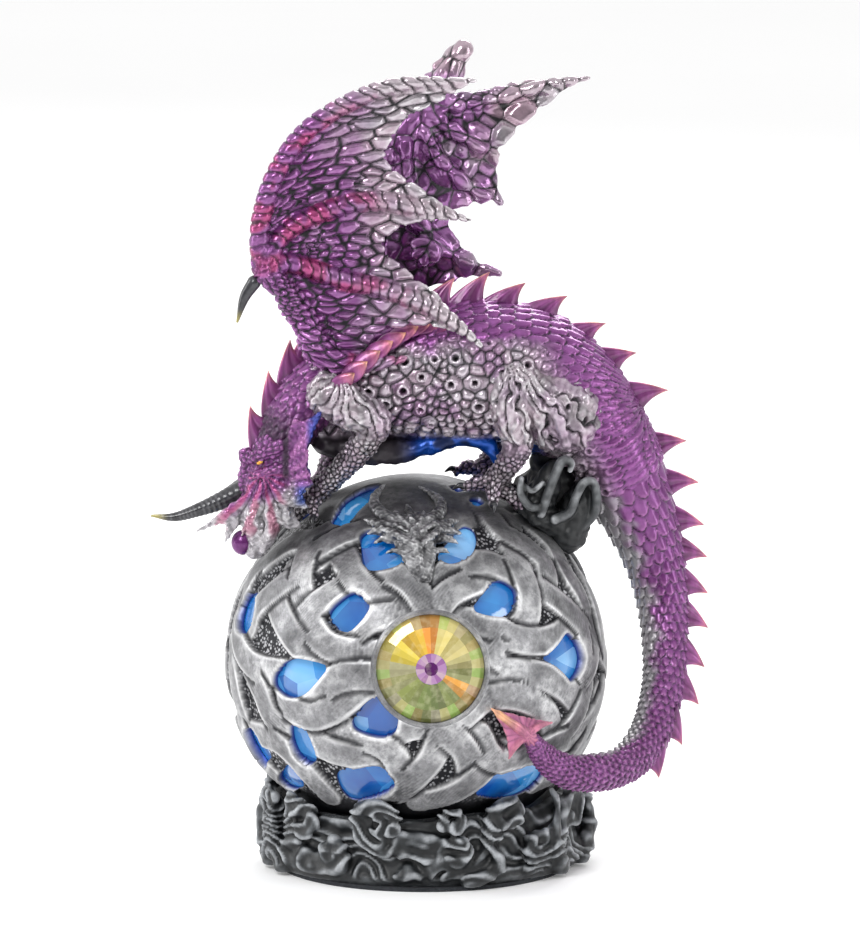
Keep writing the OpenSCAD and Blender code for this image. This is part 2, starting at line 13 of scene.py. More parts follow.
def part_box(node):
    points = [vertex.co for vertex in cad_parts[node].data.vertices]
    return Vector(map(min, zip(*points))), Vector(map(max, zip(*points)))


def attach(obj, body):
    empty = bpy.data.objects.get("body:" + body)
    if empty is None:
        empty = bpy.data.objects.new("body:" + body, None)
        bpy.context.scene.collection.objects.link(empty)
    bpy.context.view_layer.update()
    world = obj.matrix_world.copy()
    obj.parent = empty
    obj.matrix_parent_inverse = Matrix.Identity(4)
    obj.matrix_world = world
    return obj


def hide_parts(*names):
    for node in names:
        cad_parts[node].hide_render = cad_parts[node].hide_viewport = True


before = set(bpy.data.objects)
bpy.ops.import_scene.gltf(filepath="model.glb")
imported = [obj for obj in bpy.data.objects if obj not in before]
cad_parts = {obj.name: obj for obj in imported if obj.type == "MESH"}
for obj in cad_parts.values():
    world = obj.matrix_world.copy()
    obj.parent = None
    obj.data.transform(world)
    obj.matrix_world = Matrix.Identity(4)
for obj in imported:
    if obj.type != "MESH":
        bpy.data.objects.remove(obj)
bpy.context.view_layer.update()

MM = 0.001
BODY = "figurine"
UP = np.array([0.0, 0.0, 1.0])
SIDE = np.array([0.0, 1.0, 0.0])


def unit(v):
    """The vector, or each row of an array, at length one."""
    v = np.asarray(v, float)
    return v / np.maximum(np.linalg.norm(v, axis=-1, keepdims=True), 1e-9)


def smoothstep(low, high, x):
    t = np.clip((np.asarray(x, float) - low) / (high - low), 0, 1)
    return t * t * (3 - 2 * t)


# ---------------------------------------------------------------- sizes from the frame

cage_low, cage_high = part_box("orb_cage")
ORB_R = (cage_high.x - cage_low.x) / 2 / MM
ORB = np.array([0, 0, cage_high.z / MM - ORB_R])
GLOBE_R = (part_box("orb_globe")[1].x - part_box("orb_globe")[0].x) / 2 / MM
RIM_Z = cage_low.z / MM
GEM_TILT = math.radians(8.5)
GEM_AXIS = np.array([0, -math.cos(GEM_TILT), math.sin(GEM_TILT)])
GEM_R = (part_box("crystal_gem")[1].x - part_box("crystal_gem")[0].x) / 2 / MM
GEM_GIRDLE = ORB_R - 2.4

# ---------------------------------------------------------------- routes of the castings
# Each row is x, y, z and the radius there, in millimetres, as in the CAD model.

TORSO = [[-17, 0, 125, 13], [-8, 0, 126, 14.5], [4, 0, 126.5, 16.5], [16, 0, 127, 18],
         [29, 0, 125.5, 17], [39, 0, 119, 15], [46, 1, 111, 13], [51, 2, 103, 12]]
NECK = [[-17, 0, 126.5, 11.5], [-25, -2.5, 123, 8.5], [-30, -4.5, 118, 7.5],
        [-34, -6.5, 112, 6.6]]
TAIL = [[53, 3, 98, 11.2], [58.5, 4, 85.5, 8.8], [62, 4, 74, 7.2], [63.6, 2, 62, 6],
        [63.4, -3, 50, 5.3], [61.5, -8, 41.6, 5], [58.2, -14, 34.5, 4.9],
        [53.7, -20.5, 30.5, 4.6], [49.2, -26, 29, 4.4], [43.1, -31.5, 29, 4.5],
        [36.4, -36, 30.1, 4.1], [31.6, -39, 32.8, 3.5], [28.1, -41, 36.5, 2.7],
        [26, -42.6, 39.7, 1.8]]
FORELEG = [[-22.5, -12.5, 123.5, 6], [-17, -14.5, 120, 5.4], [-11.8, -15.5, 116.5, 4.4],
           [-15, -13.5, 110, 3.5], [-20, -10.5, 103.5, 3], [-25.5, -5, 97, 2.9]]
FORELEG_TOES = [[-31, -7, 90.9], [-27, -12.5, 92.4], [-31.5, 0, 91.1]]
FAR_FORELEG = [[-19, 11, 122, 6], [-14, 14.5, 114, 4.6], [-17, 14.5, 108, 3.6],
               [-20.5, 13, 102, 3], [-22, 11.5, 98.5, 2.8]]
FAR_FORELEG_TOES = [[-28, 12.5, 91.9], [-23, 18, 92.7], [-29.5, 6.5, 92.2]]
HINDLEG = [[36, -10, 117.5, 10.5], [29, -13.5, 122, 8], [22.5, -15.5, 127, 4.6],
           [22.8, -16, 119, 4.8], [24.5, -15.5, 111, 4], [22, -13.5, 104.5, 3.1],
           [18.5, -10, 99.8, 2.9]]
HINDLEG_TOES = [[11.5, -12, 99.6], [18.5, -16.5, 95.9], [26, -11, 93.7]]

# Wings: the first finger leads, and a membrane joins each finger to the next.
LEFT_WRIST = [-40, -16.5, 156, 2.4]
LEFT_WING = [
    [LEFT_WRIST, [-40.5, -17.5, 168, 2], [-36, -18, 182, 1.9], [-26.5, -17, 193.5, 1.7],
     [-8, -14.5, 202, 1.4], [14, -12, 203, 0.8]],
    [LEFT_WRIST, [-34.5, -15, 165, 1.7], [-25, -13.5, 170, 1.7], [-12.5, -12, 172.5, 1.6],
     [0, -10.5, 170.5, 1.4], [13, -9, 167, 0.8]],
    [LEFT_WRIST, [-33, -15, 157.5, 1.7], [-20, -13.5, 153, 1.7], [-6, -14.5, 149.5, 1.6],
     [6, -16.5, 144, 1.4], [15.5, -18, 136, 0.8]],
    [LEFT_WRIST, [-33, -15, 149, 2.9], [-29, -14, 142, 3.1], [-24.5, -12.5, 134, 3.4],
     [-16, -13.5, 131, 2], [-4, -16, 133, 1]]]
RIGHT_WRIST = [2, 14, 193, 2.6]
RIGHT_WING = [
    [RIGHT_WRIST, [14, 14.5, 193.8, 2.3], [27.5, 14.8, 196.2, 2.1], [37.6, 14.6, 198.2, 1.5],
     [45.5, 14, 199.6, 0.6]],
    [RIGHT_WRIST, [8, 12, 188, 2], [14, 12, 184.5, 1.8], [21.5, 12.5, 180.5, 1.0]],
    [RIGHT_WRIST, [6, 11, 181, 2], [14, 11.5, 173, 1.8], [22.6, 13, 168, 0.9]],
    [RIGHT_WRIST, [-2, 12, 176, 2.4], [6, 11, 158, 2], [22.3, 12, 149.8, 0.8]],
    [RIGHT_WRIST, [-8, 13, 176, 2.6], [-10, 12, 152, 3], [-9, 11, 135, 3.6]]]
RIGHT_SPUR = [[4, 14, 194, 4], [8.4, 14, 200.4, 4], [11, 13.8, 204.4, 3.6], [13, 13.5, 207.2, 2.7]]
CLAW = [[-42, -16.5, 153, 1.8], [-44.5, -16.5, 149, 1.3], [-46.3, -16.5, 143, 0.3]]

# Crest spikes: x, y, z on the line of the body, its radius, the spike's angle from +X in
# the plane of the body, and its height.
NECK_SPIKES = [[-23.5, -1.5, 124, 9.3, 120, 5], [-26, -2.5, 122.5, 8.3, 132, 5.2],
               [-30.5, -4.5, 117, 7.4, 142, 5.2], [-34.5, -6.5, 110.5, 6.6, 152, 4.6]]
TORSO_SPIKES = [[-2, 0, 126.5, 16, 92, 7], [5, 0, 127, 16.8, 88, 7.5],
                [12, 0, 127, 17.6, 84, 7.5], [19, 0, 127, 17.8, 78, 6],
                [27, 0, 126, 17.2, 70, 6], [34, 0, 122, 16, 60, 6],
                [40, 0, 118, 14.8, 50, 6], [46, 1, 111, 13, 40, 7]]
TAIL_SPIKES = [[52.5, 3, 100, 11.3, 34, 6.2], [56, 4, 92, 10, 26, 6.4],
               [59, 4, 84, 8.7, 18, 6], [61, 4, 77, 7.6, 14, 5.6],
               [63, 3, 69.5, 6.7, 8, 5], [63.6, 2, 62, 6, 2, 4.8],
               [63.5, -2, 53.5, 5.4, -3, 4.8], [62.6, -5.5, 46, 5.1, -12, 4.6],
               [60.2, -11, 38, 4.95, -24, 4.2], [56.2, -17, 32, 4.7, -40, 3.8]]

# ---------------------------------------------------------------- the woven cage
# Straps and windows of the front half: longitude from the front towards +X, and latitude,
# in degrees. The back half repeats them, with BACK_STRAPS added. Most rows of STRAPS and
# WINDOWS were neither designed nor chosen by hand: they were converted from traced points.
# A script converted traced points, which the rules for this file forbid. They are to be
# replaced.

STRAPS = [
    [(2, 34), (11, 40), (22, 41), (31, 38), (34, 32)], [(2, 26), (7, 31), (15, 34), (24, 36)],
    [(54, 54), (41, 45), (39, 37), (38, 29), (35, 22), (30, 18)],
    [(45, 60), (42, 51), (49, 44), (53, 37), (50, 30)], [(42, 32), (49, 26), (57, 19), (66, 11)],
    [(72, 41), (65, 32), (67, 24), (69, 16)], [(68, 50), (67, 40), (64, 34)],
    [(11, 23), (20, 21), (28, 16), (38, 14), (48, 15), (56, 18)], [(16, 17), (21, 12), (25, 9)],
    [(16, 5), (25, 6), (36, 4), (46, -1), (57, -9)],
    [(15, -2), (23, -1), (31, -3), (39, -8), (44, -15)], [(4, -10), (9, -7), (14, -3), (20, 1)],
    [(0, -9), (7, -13), (12, -19), (15, -28)], [(-11, -33), (-4, -26), (1, -19), (4, -11)],
    [(-1, -37), (9, -33), (17, -27), (23, -20)], [(16, -14), (20, -20), (28, -23), (35, -22)],
    [(-15, -14), (-8, -10), (-2, -9)], [(-30, -11), (-21, -13), (-13, -17), (-9, -24), (-7, -32)],
    [(-42, -13), (-34, -18), (-24, -20), (-17, -23)],
    [(-72, -18), (-57, -18), (-49, -22), (-44, -29), (-41, -36)],
    [(-80, -13), (-77, -21), (-71, -28), (-65, -35)],
    [(-16, 6), (-22, 6), (-30, 4), (-37, -1), (-43, -7)],
    [(-16, 1), (-23, 0), (-30, -5), (-38, -8), (-46, -6), (-49, -1)],
    [(-16, 13), (-26, 13), (-34, 15), (-41, 21), (-46, 25)],
    [(-31, 8), (-39, 11), (-47, 16), (-56, 23), (-62, 27)],
    [(-49, 4), (-62, 4), (-73, 8), (-81, 14), (-85, 21)],
    [(-66, 2), (-59, -3), (-55, -10), (-48, -15)], [(-86, 5), (-78, -2), (-75, -9), (-74, -16)],
    [(-70, 16), (-68, 21), (-62, 27), (-54, 34), (-47, 41)],
    [(-46, 19), (-40, 26), (-33, 31), (-26, 35)], [(-45, 25), (-51, 34), (-55, 44), (-53, 47)],
    [(-36, 43), (-29, 37), (-20, 31), (-10, 28)], [(-24, 40), (-13, 38), (-5, 33), (0, 26)],
    [(-26, 18), (-19, 23), (-9, 25)], [(-33, 54), (-41, 50), (-49, 44), (-57, 38)],
    [(-51, 54), (-56, 48), (-69, 43), (-79, 34), (-87, 26)], [(56, -1), (63, 4), (70, 10)],
    [(61, 17), (59, 8), (53, -2)], [(49, -18), (55, -12), (61, -5)],
    [(37, -22), (47, -19), (58, -19)], [(-86, 22), (-83, 31), (-79, 38)],
    [(-26, -34), (-18, -32), (-11, -33)], [(85, 30), (80, 20), (78, 8), (84, -4)],
    [(70, 10), (80, 2), (92, -2), (100, 6)], [(60, -20), (70, -14), (80, -6), (88, 4)],
    [(66, -34), (74, -26), (84, -22), (94, -26)], [(50, -34), (60, -30), (68, -22), (72, -10)]]
BACK_STRAPS = [
    [(-20, 14), (-6, 4), (8, -4), (22, -8)], [(-18, -6), (-4, 2), (10, 8), (24, 14)],
    [(-4, 22), (2, 8), (4, -4), (0, -16)], [(-22, 4), (-12, 12), (0, 16), (12, 18)],
    [(-12, -12), (0, -6), (14, -6), (26, -10)], [(-30, 60), (0, 50), (30, 56)],
    [(-20, 36), (0, 44), (24, 36)], [(8, 52), (16, 42), (18, 30)]]
WINDOWS = [
    [(-61, 60), (-69, 65), (-77, 74), (-62, 77), (-43, 72), (-44, 61), (-44, 55), (-57, 55)],
    [(-32, 51), (-29, 54), (-22, 53), (-15, 50), (-10, 46), (-11, 41), (-19, 39), (-25, 40),
     (-28, 45)],
    [(6, 46), (13, 51), (22, 56), (27, 54), (25, 49), (18, 43), (10, 41), (6, 43)],
    [(-35, 24), (-28, 31), (-24, 30), (-20, 27), (-22, 23), (-26, 19), (-31, 20)],
    [(15, 26), (21, 31), (24, 34), (29, 34), (33, 31), (31, 26), (26, 23), (20, 24)],
    [(39, 9), (44, 11), (51, 15), (56, 11), (58, 6), (55, 2), (50, 0), (47, 3)],
    [(-53, 2), (-49, 7), (-44, 9), (-32, 8), (-36, 3), (-40, -1), (-46, -3), (-52, -1)],
    [(-24, -8), (-20, -3), (-16, 0), (-12, -3), (-10, -6), (-11, -11), (-15, -13), (-23, -11)],
    [(-47, -12), (-43, -12), (-40, -14), (-38, -21), (-43, -25), (-47, -22), (-48, -17)],
    [(-66, -34), (-55, -27), (-51, -31), (-53, -36), (-60, -38), (-67, -37)],
    [(-33, -28), (-27, -25), (-18, -23), (-14, -26), (-12, -31), (-21, -36), (-30, -39),
     (-33, -35)],
    [(19, -36), (24, -27), (38, -26), (46, -28), (48, -34), (42, -39), (28, -39)],
    [(42, 76), (60, 76), (56, 72), (40, 72)], [(42, 68), (56, 68), (54, 64), (40, 63)],
    [(84, 58), (92, 56), (89, 50), (79, 50), (77, 54)],
    [(96, 22), (106, 26), (112, 20), (108, 12), (98, 14)],
    [(100, -20), (112, -16), (116, -26), (106, -32)]]


def on_sphere(lon, lat, radius=1.0):
    """The direction (times a radius) at a longitude and latitude of the orb, in degrees."""
    a, b = math.radians(lon), math.radians(lat)
    return radius * np.array([math.sin(a) * math.cos(b), -math.cos(a) * math.cos(b),
                              math.sin(b)])


# ---------------------------------------------------------------- mesh building blocks

def catmull(rows, steps=6):
    """A smooth route through the rows."""
    rows = np.array(rows, float)
    ends = np.vstack([2 * rows[0] - rows[1], rows, 2 * rows[-1] - rows[-2]])
    out = []
    for p0, p1, p2, p3 in zip(ends, ends[1:], ends[2:], ends[3:]):
        for t in np.arange(steps) / steps:
            out.append(0.5 * (2 * p1 + (p2 - p0) * t + (2 * p0 - 5 * p1 + 4 * p2 - p3) * t ** 2
                              + (3 * p1 - p0 - 3 * p2 + p3) * t ** 3))
    out.append(rows[-1])
    return np.array(out)


def frames(path, side=SIDE):
    """Tangent and two cross directions along a route."""
    tangent = unit(np.gradient(path[:, :3], axis=0))
    across = np.tile(np.asarray(side, float), (len(path), 1))
    bad = np.abs((across * tangent).sum(1)) > 0.95
    across[bad] = UP if abs(side[2]) < 0.5 else SIDE
    across = unit(across - tangent * (across * tangent).sum(1, keepdims=True))
    return tangent, across, np.cross(tangent, across)


def loft(rings, closed=True):
    """Verts and faces of a skin over rings of points, with its ends closed."""
    count, sides = len(rings), len(rings[0])
    verts = np.vstack([np.vstack(rings), rings[0].mean(0), rings[-1].mean(0)])
    faces = []
    for i in range(count - 1):
        for j in range(sides):
            k = (j + 1) % sides
            faces.append((i * sides + j, i * sides + k, (i + 1) * sides + k, (i + 1) * sides + j))
    if closed:
        first, last = count * sides, count * sides + 1
        for j in range(sides):
            k = (j + 1) % sides
            faces.append((first, k, j))
            faces.append((last, (count - 1) * sides + j, (count - 1) * sides + k))
    return verts, faces


def tube(rows, sides=14, steps=6, flat=1.0, side=SIDE):
    """A rounded, tapering tube along a route. flat scales its width along side."""
    path = catmull(rows, steps)
    path[:, 3] = np.maximum(path[:, 3], 0.2)
    tangent, across, up = frames(path, side)
    angles = np.arange(sides) * 2 * math.pi / sides
    shape = [(-0.95, 0.3), (-0.7, 0.72), (-0.35, 0.94)]
    rings = []

    def ring(i, along, scale):
        r = path[i, 3]
        return (path[i, :3] + tangent[i] * along * r
                + np.cos(angles)[:, None] * across[i] * r * scale * flat
                + np.sin(angles)[:, None] * up[i] * r * scale)

    rings += [ring(0, a, s) for a, s in shape]
    rings += [ring(i, 0, 1) for i in range(len(path))]
    rings += [ring(len(path) - 1, -a, s) for a, s in reversed(shape)]
    return loft(rings)


def ball(centre, radii, turn=None, sides=16):
    """An ellipsoid; turn is a 3x3 matrix whose columns are its axes."""
    radii = np.ones(3) * radii
    lat = np.linspace(-math.pi / 2, math.pi / 2, sides // 2 + 1)[1:-1]
    lon = np.arange(sides) * 2 * math.pi / sides
    rings = [np.stack([np.cos(lon) * math.cos(b), np.sin(lon) * math.cos(b),
                       np.full(sides, math.sin(b))], 1) * radii for b in lat]
    verts, faces = loft(rings)
    verts[-2] = [0, 0, -radii[2]]
    verts[-1] = [0, 0, radii[2]]
    if turn is not None:
        verts = verts @ np.asarray(turn).T
    return verts + np.asarray(centre, float), faces


def slab(grid, thick):
    """A closed sheet of the given thickness over a grid of points."""
    rows, cols = grid.shape[:2]
    du, dv = np.gradient(grid, axis=0), np.gradient(grid, axis=1)
    n = unit(np.cross(du, dv))
    n[~np.isfinite(n).all(-1)] = SIDE
    half = np.asarray(thick, float)
    half = (half[..., None] if half.ndim else half) / 2
    verts = np.vstack([(grid + n * half).reshape(-1, 3), (grid - n * half).reshape(-1, 3)])
    size = rows * cols

    def at(i, j):
        return i * cols + j

    faces = []
    for i in range(rows - 1):
        for j in range(cols - 1):
            q = (at(i, j), at(i + 1, j), at(i + 1, j + 1), at(i, j + 1))
            faces.append(q)
            faces.append(tuple(size + k for k in reversed(q)))
    edge = ([at(0, j) for j in range(cols)] + [at(i, cols - 1) for i in range(1, rows)]
            + [at(rows - 1, j) for j in range(cols - 2, -1, -1)]
            + [at(i, 0) for i in range(rows - 2, 0, -1)])
    for a, b in zip(edge, edge[1:] + edge[:1]):
        faces.append((a, b, size + b, size + a))
    return verts, faces


def joined(parts):
    """One verts array and face list of several parts."""
    verts, faces, start = [], [], 0
    for v, f in parts:
        verts.append(v)
        faces += [tuple(start + k for k in face) for face in f]
        start += len(v)
    return np.vstack(verts), faces


def evaluated(mesh, modifiers):
    """The mesh after a list of (type, settings) modifiers."""
    obj = bpy.data.objects.new("work", mesh)
    bpy.context.scene.collection.objects.link(obj)
    for kind, settings in modifiers:
        mod = obj.modifiers.new(kind, kind)
        for key, value in settings.items():
            setattr(mod, key, value)
    graph = bpy.context.evaluated_depsgraph_get()
    done = bpy.data.meshes.new_from_object(obj.evaluated_get(graph))
    bpy.data.objects.remove(obj)
    bpy.data.meshes.remove(mesh)
    return done


class Skin:
    """A sculpted surface: points, faces, point normals and painted attributes."""

    def __init__(self, parts, voxel=None, smooth=3):
        verts, faces = joined(parts)
        if voxel:
            mesh = bpy.data.meshes.new("work")
            mesh.from_pydata(verts.tolist(), [], faces)
            mesh = evaluated(mesh, [
                ("REMESH", {"mode": "VOXEL", "voxel_size": voxel, "adaptivity": 0.0}),
                ("SMOOTH", {"factor": 0.5, "iterations": smooth})])
            verts = np.zeros(len(mesh.vertices) * 3)
            mesh.vertices.foreach_get("co", verts)
            verts = verts.reshape(-1, 3)
            faces = np.zeros(len(mesh.loops), int)
            mesh.loops.foreach_get("vertex_index", faces)
            faces = faces.reshape(-1, 4)
            bpy.data.meshes.remove(mesh)
        self.v = verts
        self.f = faces
        self.paint = {}
        self.edges()
        self.normals()

    def edges(self):
        a, b = [], []
        if isinstance(self.f, np.ndarray):
            for i in range(4):
                a.append(self.f[:, i])
                b.append(self.f[:, (i + 1) % 4])
            self.a, self.b = np.concatenate(a), np.concatenate(b)
        else:
            pairs = [(f[i], f[(i + 1) % len(f)]) for f in self.f for i in range(len(f))]
            self.a, self.b = np.array(pairs).T
        self.degree = np.bincount(self.a, minlength=len(self.v)) + np.bincount(
            self.b, minlength=len(self.v))

    def normals(self):
        n = np.zeros_like(self.v)
        if isinstance(self.f, np.ndarray):
            p = self.v[self.f]
            face_n = np.cross(p[:, 2] - p[:, 0], p[:, 3] - p[:, 1])
            for i in range(4):
                np.add.at(n, self.f[:, i], face_n)
        else:
            for f in self.f:
                p = self.v[list(f)]
                n[list(f)] += np.cross(p[1] - p[0], p[2] - p[0])
        self.n = unit(n)

    def spread(self, values, times):
        """The values averaged over neighbouring points, several times."""
        out = np.array(values, float)
        flat = out.ndim == 1
        cols = out[:, None] if flat else out
        for _ in range(times):
            total = np.stack([np.bincount(self.a, cols[self.b, k], len(self.v))
                              + np.bincount(self.b, cols[self.a, k], len(self.v))
                              for k in range(cols.shape[1])], 1)
            cols = total / np.maximum(self.degree, 1)[:, None]
        return cols[:, 0] if flat else cols

    def raise_by(self, height):
        self.v = self.v + self.n * np.asarray(height)[:, None]
        self.normals()

    def relief(self, times=6, gain=2.0):
        """Adds wash in the hollows and peak on the crests, from the curvature."""
        step = ((self.spread(self.v, times) - self.v) * self.n).sum(1) * gain
        self.add("wash_and_shade", np.clip(step, 0, 1))
        self.add("peak", np.clip(-step, 0, 1))

    def add(self, name, values):
        old = self.paint.get(name, np.zeros(len(self.v)))
        self.paint[name] = np.clip(np.maximum(old, values), 0, 1)

    def piece(self, name, material, slot, nodes=(), body=BODY, flat=False):
        """Makes the Blender object in metres and joins it to the frame."""
        mesh = bpy.data.meshes.new(name)
        faces = self.f.tolist() if isinstance(self.f, np.ndarray) else self.f
        mesh.from_pydata((self.v * MM).tolist(), [], faces)
        mesh.validate()
        for key, values in self.paint.items():
            values = np.asarray(values, float)
            if values.ndim == 1:
                data = mesh.attributes.new(key, "FLOAT", "POINT").data
                data.foreach_set("value", values)
            else:
                data = mesh.attributes.new(key, "FLOAT_COLOR", "POINT").data
                data.foreach_set("color", np.column_stack([values, np.ones(len(values))]).ravel())
        if not flat:
            mesh.shade_smooth()
        mesh.materials.append(material)
        obj = bpy.data.objects.new(name, mesh)
        bpy.context.scene.collection.objects.link(obj)
        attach(obj, body)
        if nodes:
            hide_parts(*nodes)
        return obj


# ---------------------------------------------------------------- relief patterns

def scatter(points, spacing, seed, tries=6000):
    """Points of the surface that keep their own spacing from each other."""
    rng = np.random.default_rng(seed)
    picks = rng.permutation(len(points))[:tries]
    spacing = np.ones(len(points)) * spacing
    kept = np.zeros((0, 3))
    index = []
    for i in picks:
        p = points[i]
        if len(kept) == 0 or ((kept - p) ** 2).sum(1).min() > spacing[i] ** 2:
            kept = np.vstack([kept, p])
            index.append(i)
    return np.array(index), rng


def nearest_two(points, seeds):
    """Distances to the nearest two seeds and the nearest seed's number."""
    tree = kdtree.KDTree(len(seeds))
    for k, s in enumerate(seeds):
        tree.insert(s, k)
    tree.balance()
    out = [tree.find_n(p, 2) for p in points]
    d1 = np.array([o[0][2] for o in out])
    d2 = np.array([o[1][2] for o in out])
    return d1, d2, np.array([o[0][1] for o in out])


def cobbles(skin, spacing, height, seed, space=None, craters=0.0, amount=1.0, groove=0.34,
            round_off=1.4):
    """Rounded stones over the skin; craters is the spacing of ringed craters among them."""
    points = skin.v if space is None else space
    index, rng = scatter(points, spacing, seed)
    seeds = points[index]
    holes = np.zeros(len(seeds), bool)
    if craters:
        big = points[scatter(points, craters, seed + 1)[0]]
        clear = np.array([((big - p) ** 2).sum(1).min() > 2.3 ** 2 for p in seeds])
        seeds = np.vstack([seeds[clear], big])
        holes = np.arange(len(seeds)) >= clear.sum()
    d1, d2, who = nearest_two(points, seeds)
    if craters:
        tree = kdtree.KDTree(len(seeds))
        for k, p in enumerate(seeds):
            tree.insert(p, k)
        tree.balance()
        found = [tree.find_n(p, 4) for p in points]
        ids = np.array([[o[1] for o in f] for f in found])
        far = np.array([[o[2] for o in f] for f in found]) - 0.8 * holes[ids]
        order = far.argsort(1)
        rows = np.arange(len(points))
        who = ids[rows, order[:, 0]]
        d1, d2 = far[rows, order[:, 0]], far[rows, order[:, 1]]
    wall = (d2 - d1) / 2
    dome = smoothstep(0, round_off, wall) * height
    wash_and_shade = 1 - smoothstep(groove * 0.4, groove * 1.5, wall)
    if craters:
        size = rng.uniform(0.8, 1.15, len(seeds))[who]
        reach = (d1 + 0.8) / size
        ring = np.exp(-((reach - 1.25) / 0.42) ** 2)
        hole = 1 - smoothstep(0.35, 0.95, reach)
        inside = holes[who]
        dome = np.where(inside, smoothstep(0, 0.5, wall) * height * (0.25 + 1.25 * ring)
                        - 1.5 * height * hole, dome)
        wash_and_shade = np.where(inside, np.maximum(wash_and_shade, hole), wash_and_shade)
    skin.raise_by((dome - height * 0.5) * amount)
    skin.add("wash_and_shade", wash_and_shade * np.clip(amount, 0, 1))
    cell = rng.random(len(seeds))[who]
    skin.paint["cell"] = cell * np.clip(amount, 0, 1) + skin.paint.get("cell", 0.5) * (
        1 - np.clip(amount, 0, 1))


def along_line(points, rows, side=SIDE):
    """For each point: the place along a route measured in radii, and its angle round the
    route from the side away from the route's inner curve, in radians."""
    path = catmull(rows, 24)
    tangent, across, up = frames(path, side)
    steps = np.linalg.norm(np.diff(path[:, :3], axis=0), axis=1)
    reach = np.concatenate([[0], np.cumsum(steps / np.maximum(path[:-1, 3], 1))])
    tree = kdtree.KDTree(len(path))
    for k, p in enumerate(path):
        tree.insert(p[:3], k)
    tree.balance()
    near = np.array([tree.find(p)[1] for p in points])
    off = points - path[near, :3]
    fine = (off * tangent[near]).sum(1) / np.maximum(path[near, 3], 1)
    angle = np.arctan2((off * across[near]).sum(1), (off * up[near]).sum(1))
    return reach[near] + fine, angle, path[near, 3]


def scales(skin, place, angle, height, columns=14, pitch=0.46, amount=1.0):
    """Rows of overlapping rounded scales that point along the route."""
    row = place / pitch
    col = angle / (2 * math.pi) * columns

    def cell(r):
        shift = 0.5 * (np.floor(r) % 2)
        return (col + shift) - np.floor(col + shift) - 0.5, np.floor(col + shift)

    u = row - np.floor(row)
    v, c = cell(row)
    v_up, c_up = cell(row - 1)
    lip = 0.85 * np.sqrt(np.clip(1 - (2 * v_up) ** 2, 0, 1))
    upper = u < lip
    along = np.where(upper, u + 1, u) / 1.85
    side_v = np.where(upper, v_up, v)
    crown = 1 - 0.55 * (2 * side_v) ** 2
    wash_and_shade = np.where(upper, 0, 1 - smoothstep(0.0, 0.22, u - lip))
    peak = np.where(upper, smoothstep(0.22, 0.02, lip - u), 0)
    skin.raise_by((along * crown * height - height * 0.4) * amount)
    skin.add("wash_and_shade", wash_and_shade * amount)
    skin.add("peak", peak * amount * 0.7)
    number = np.where(upper, c_up * 7 + np.floor(row - 1) * 13, c * 7 + np.floor(row) * 13)
    tone = np.modf(np.abs(np.sin(number * 12.9898) * 43758.5453))[0]
    skin.paint["cell"] = tone * amount + skin.paint.get("cell", 0.5) * (1 - amount)


def waves(points, size, seed, octaves=3):
    """Smooth noise between about -1 and 1, built from a few sine waves."""
    rng = np.random.default_rng(seed)
    total = np.zeros(len(points))
    for o in range(octaves):
        for _ in range(5):
            direction = unit(rng.normal(size=3))
            total += np.sin(points @ direction * (2 * math.pi * 1.9 ** o / size)
                            + rng.random() * 6.28) / (1.7 ** o) / 3.5
    return total


# ---------------------------------------------------------------- materials

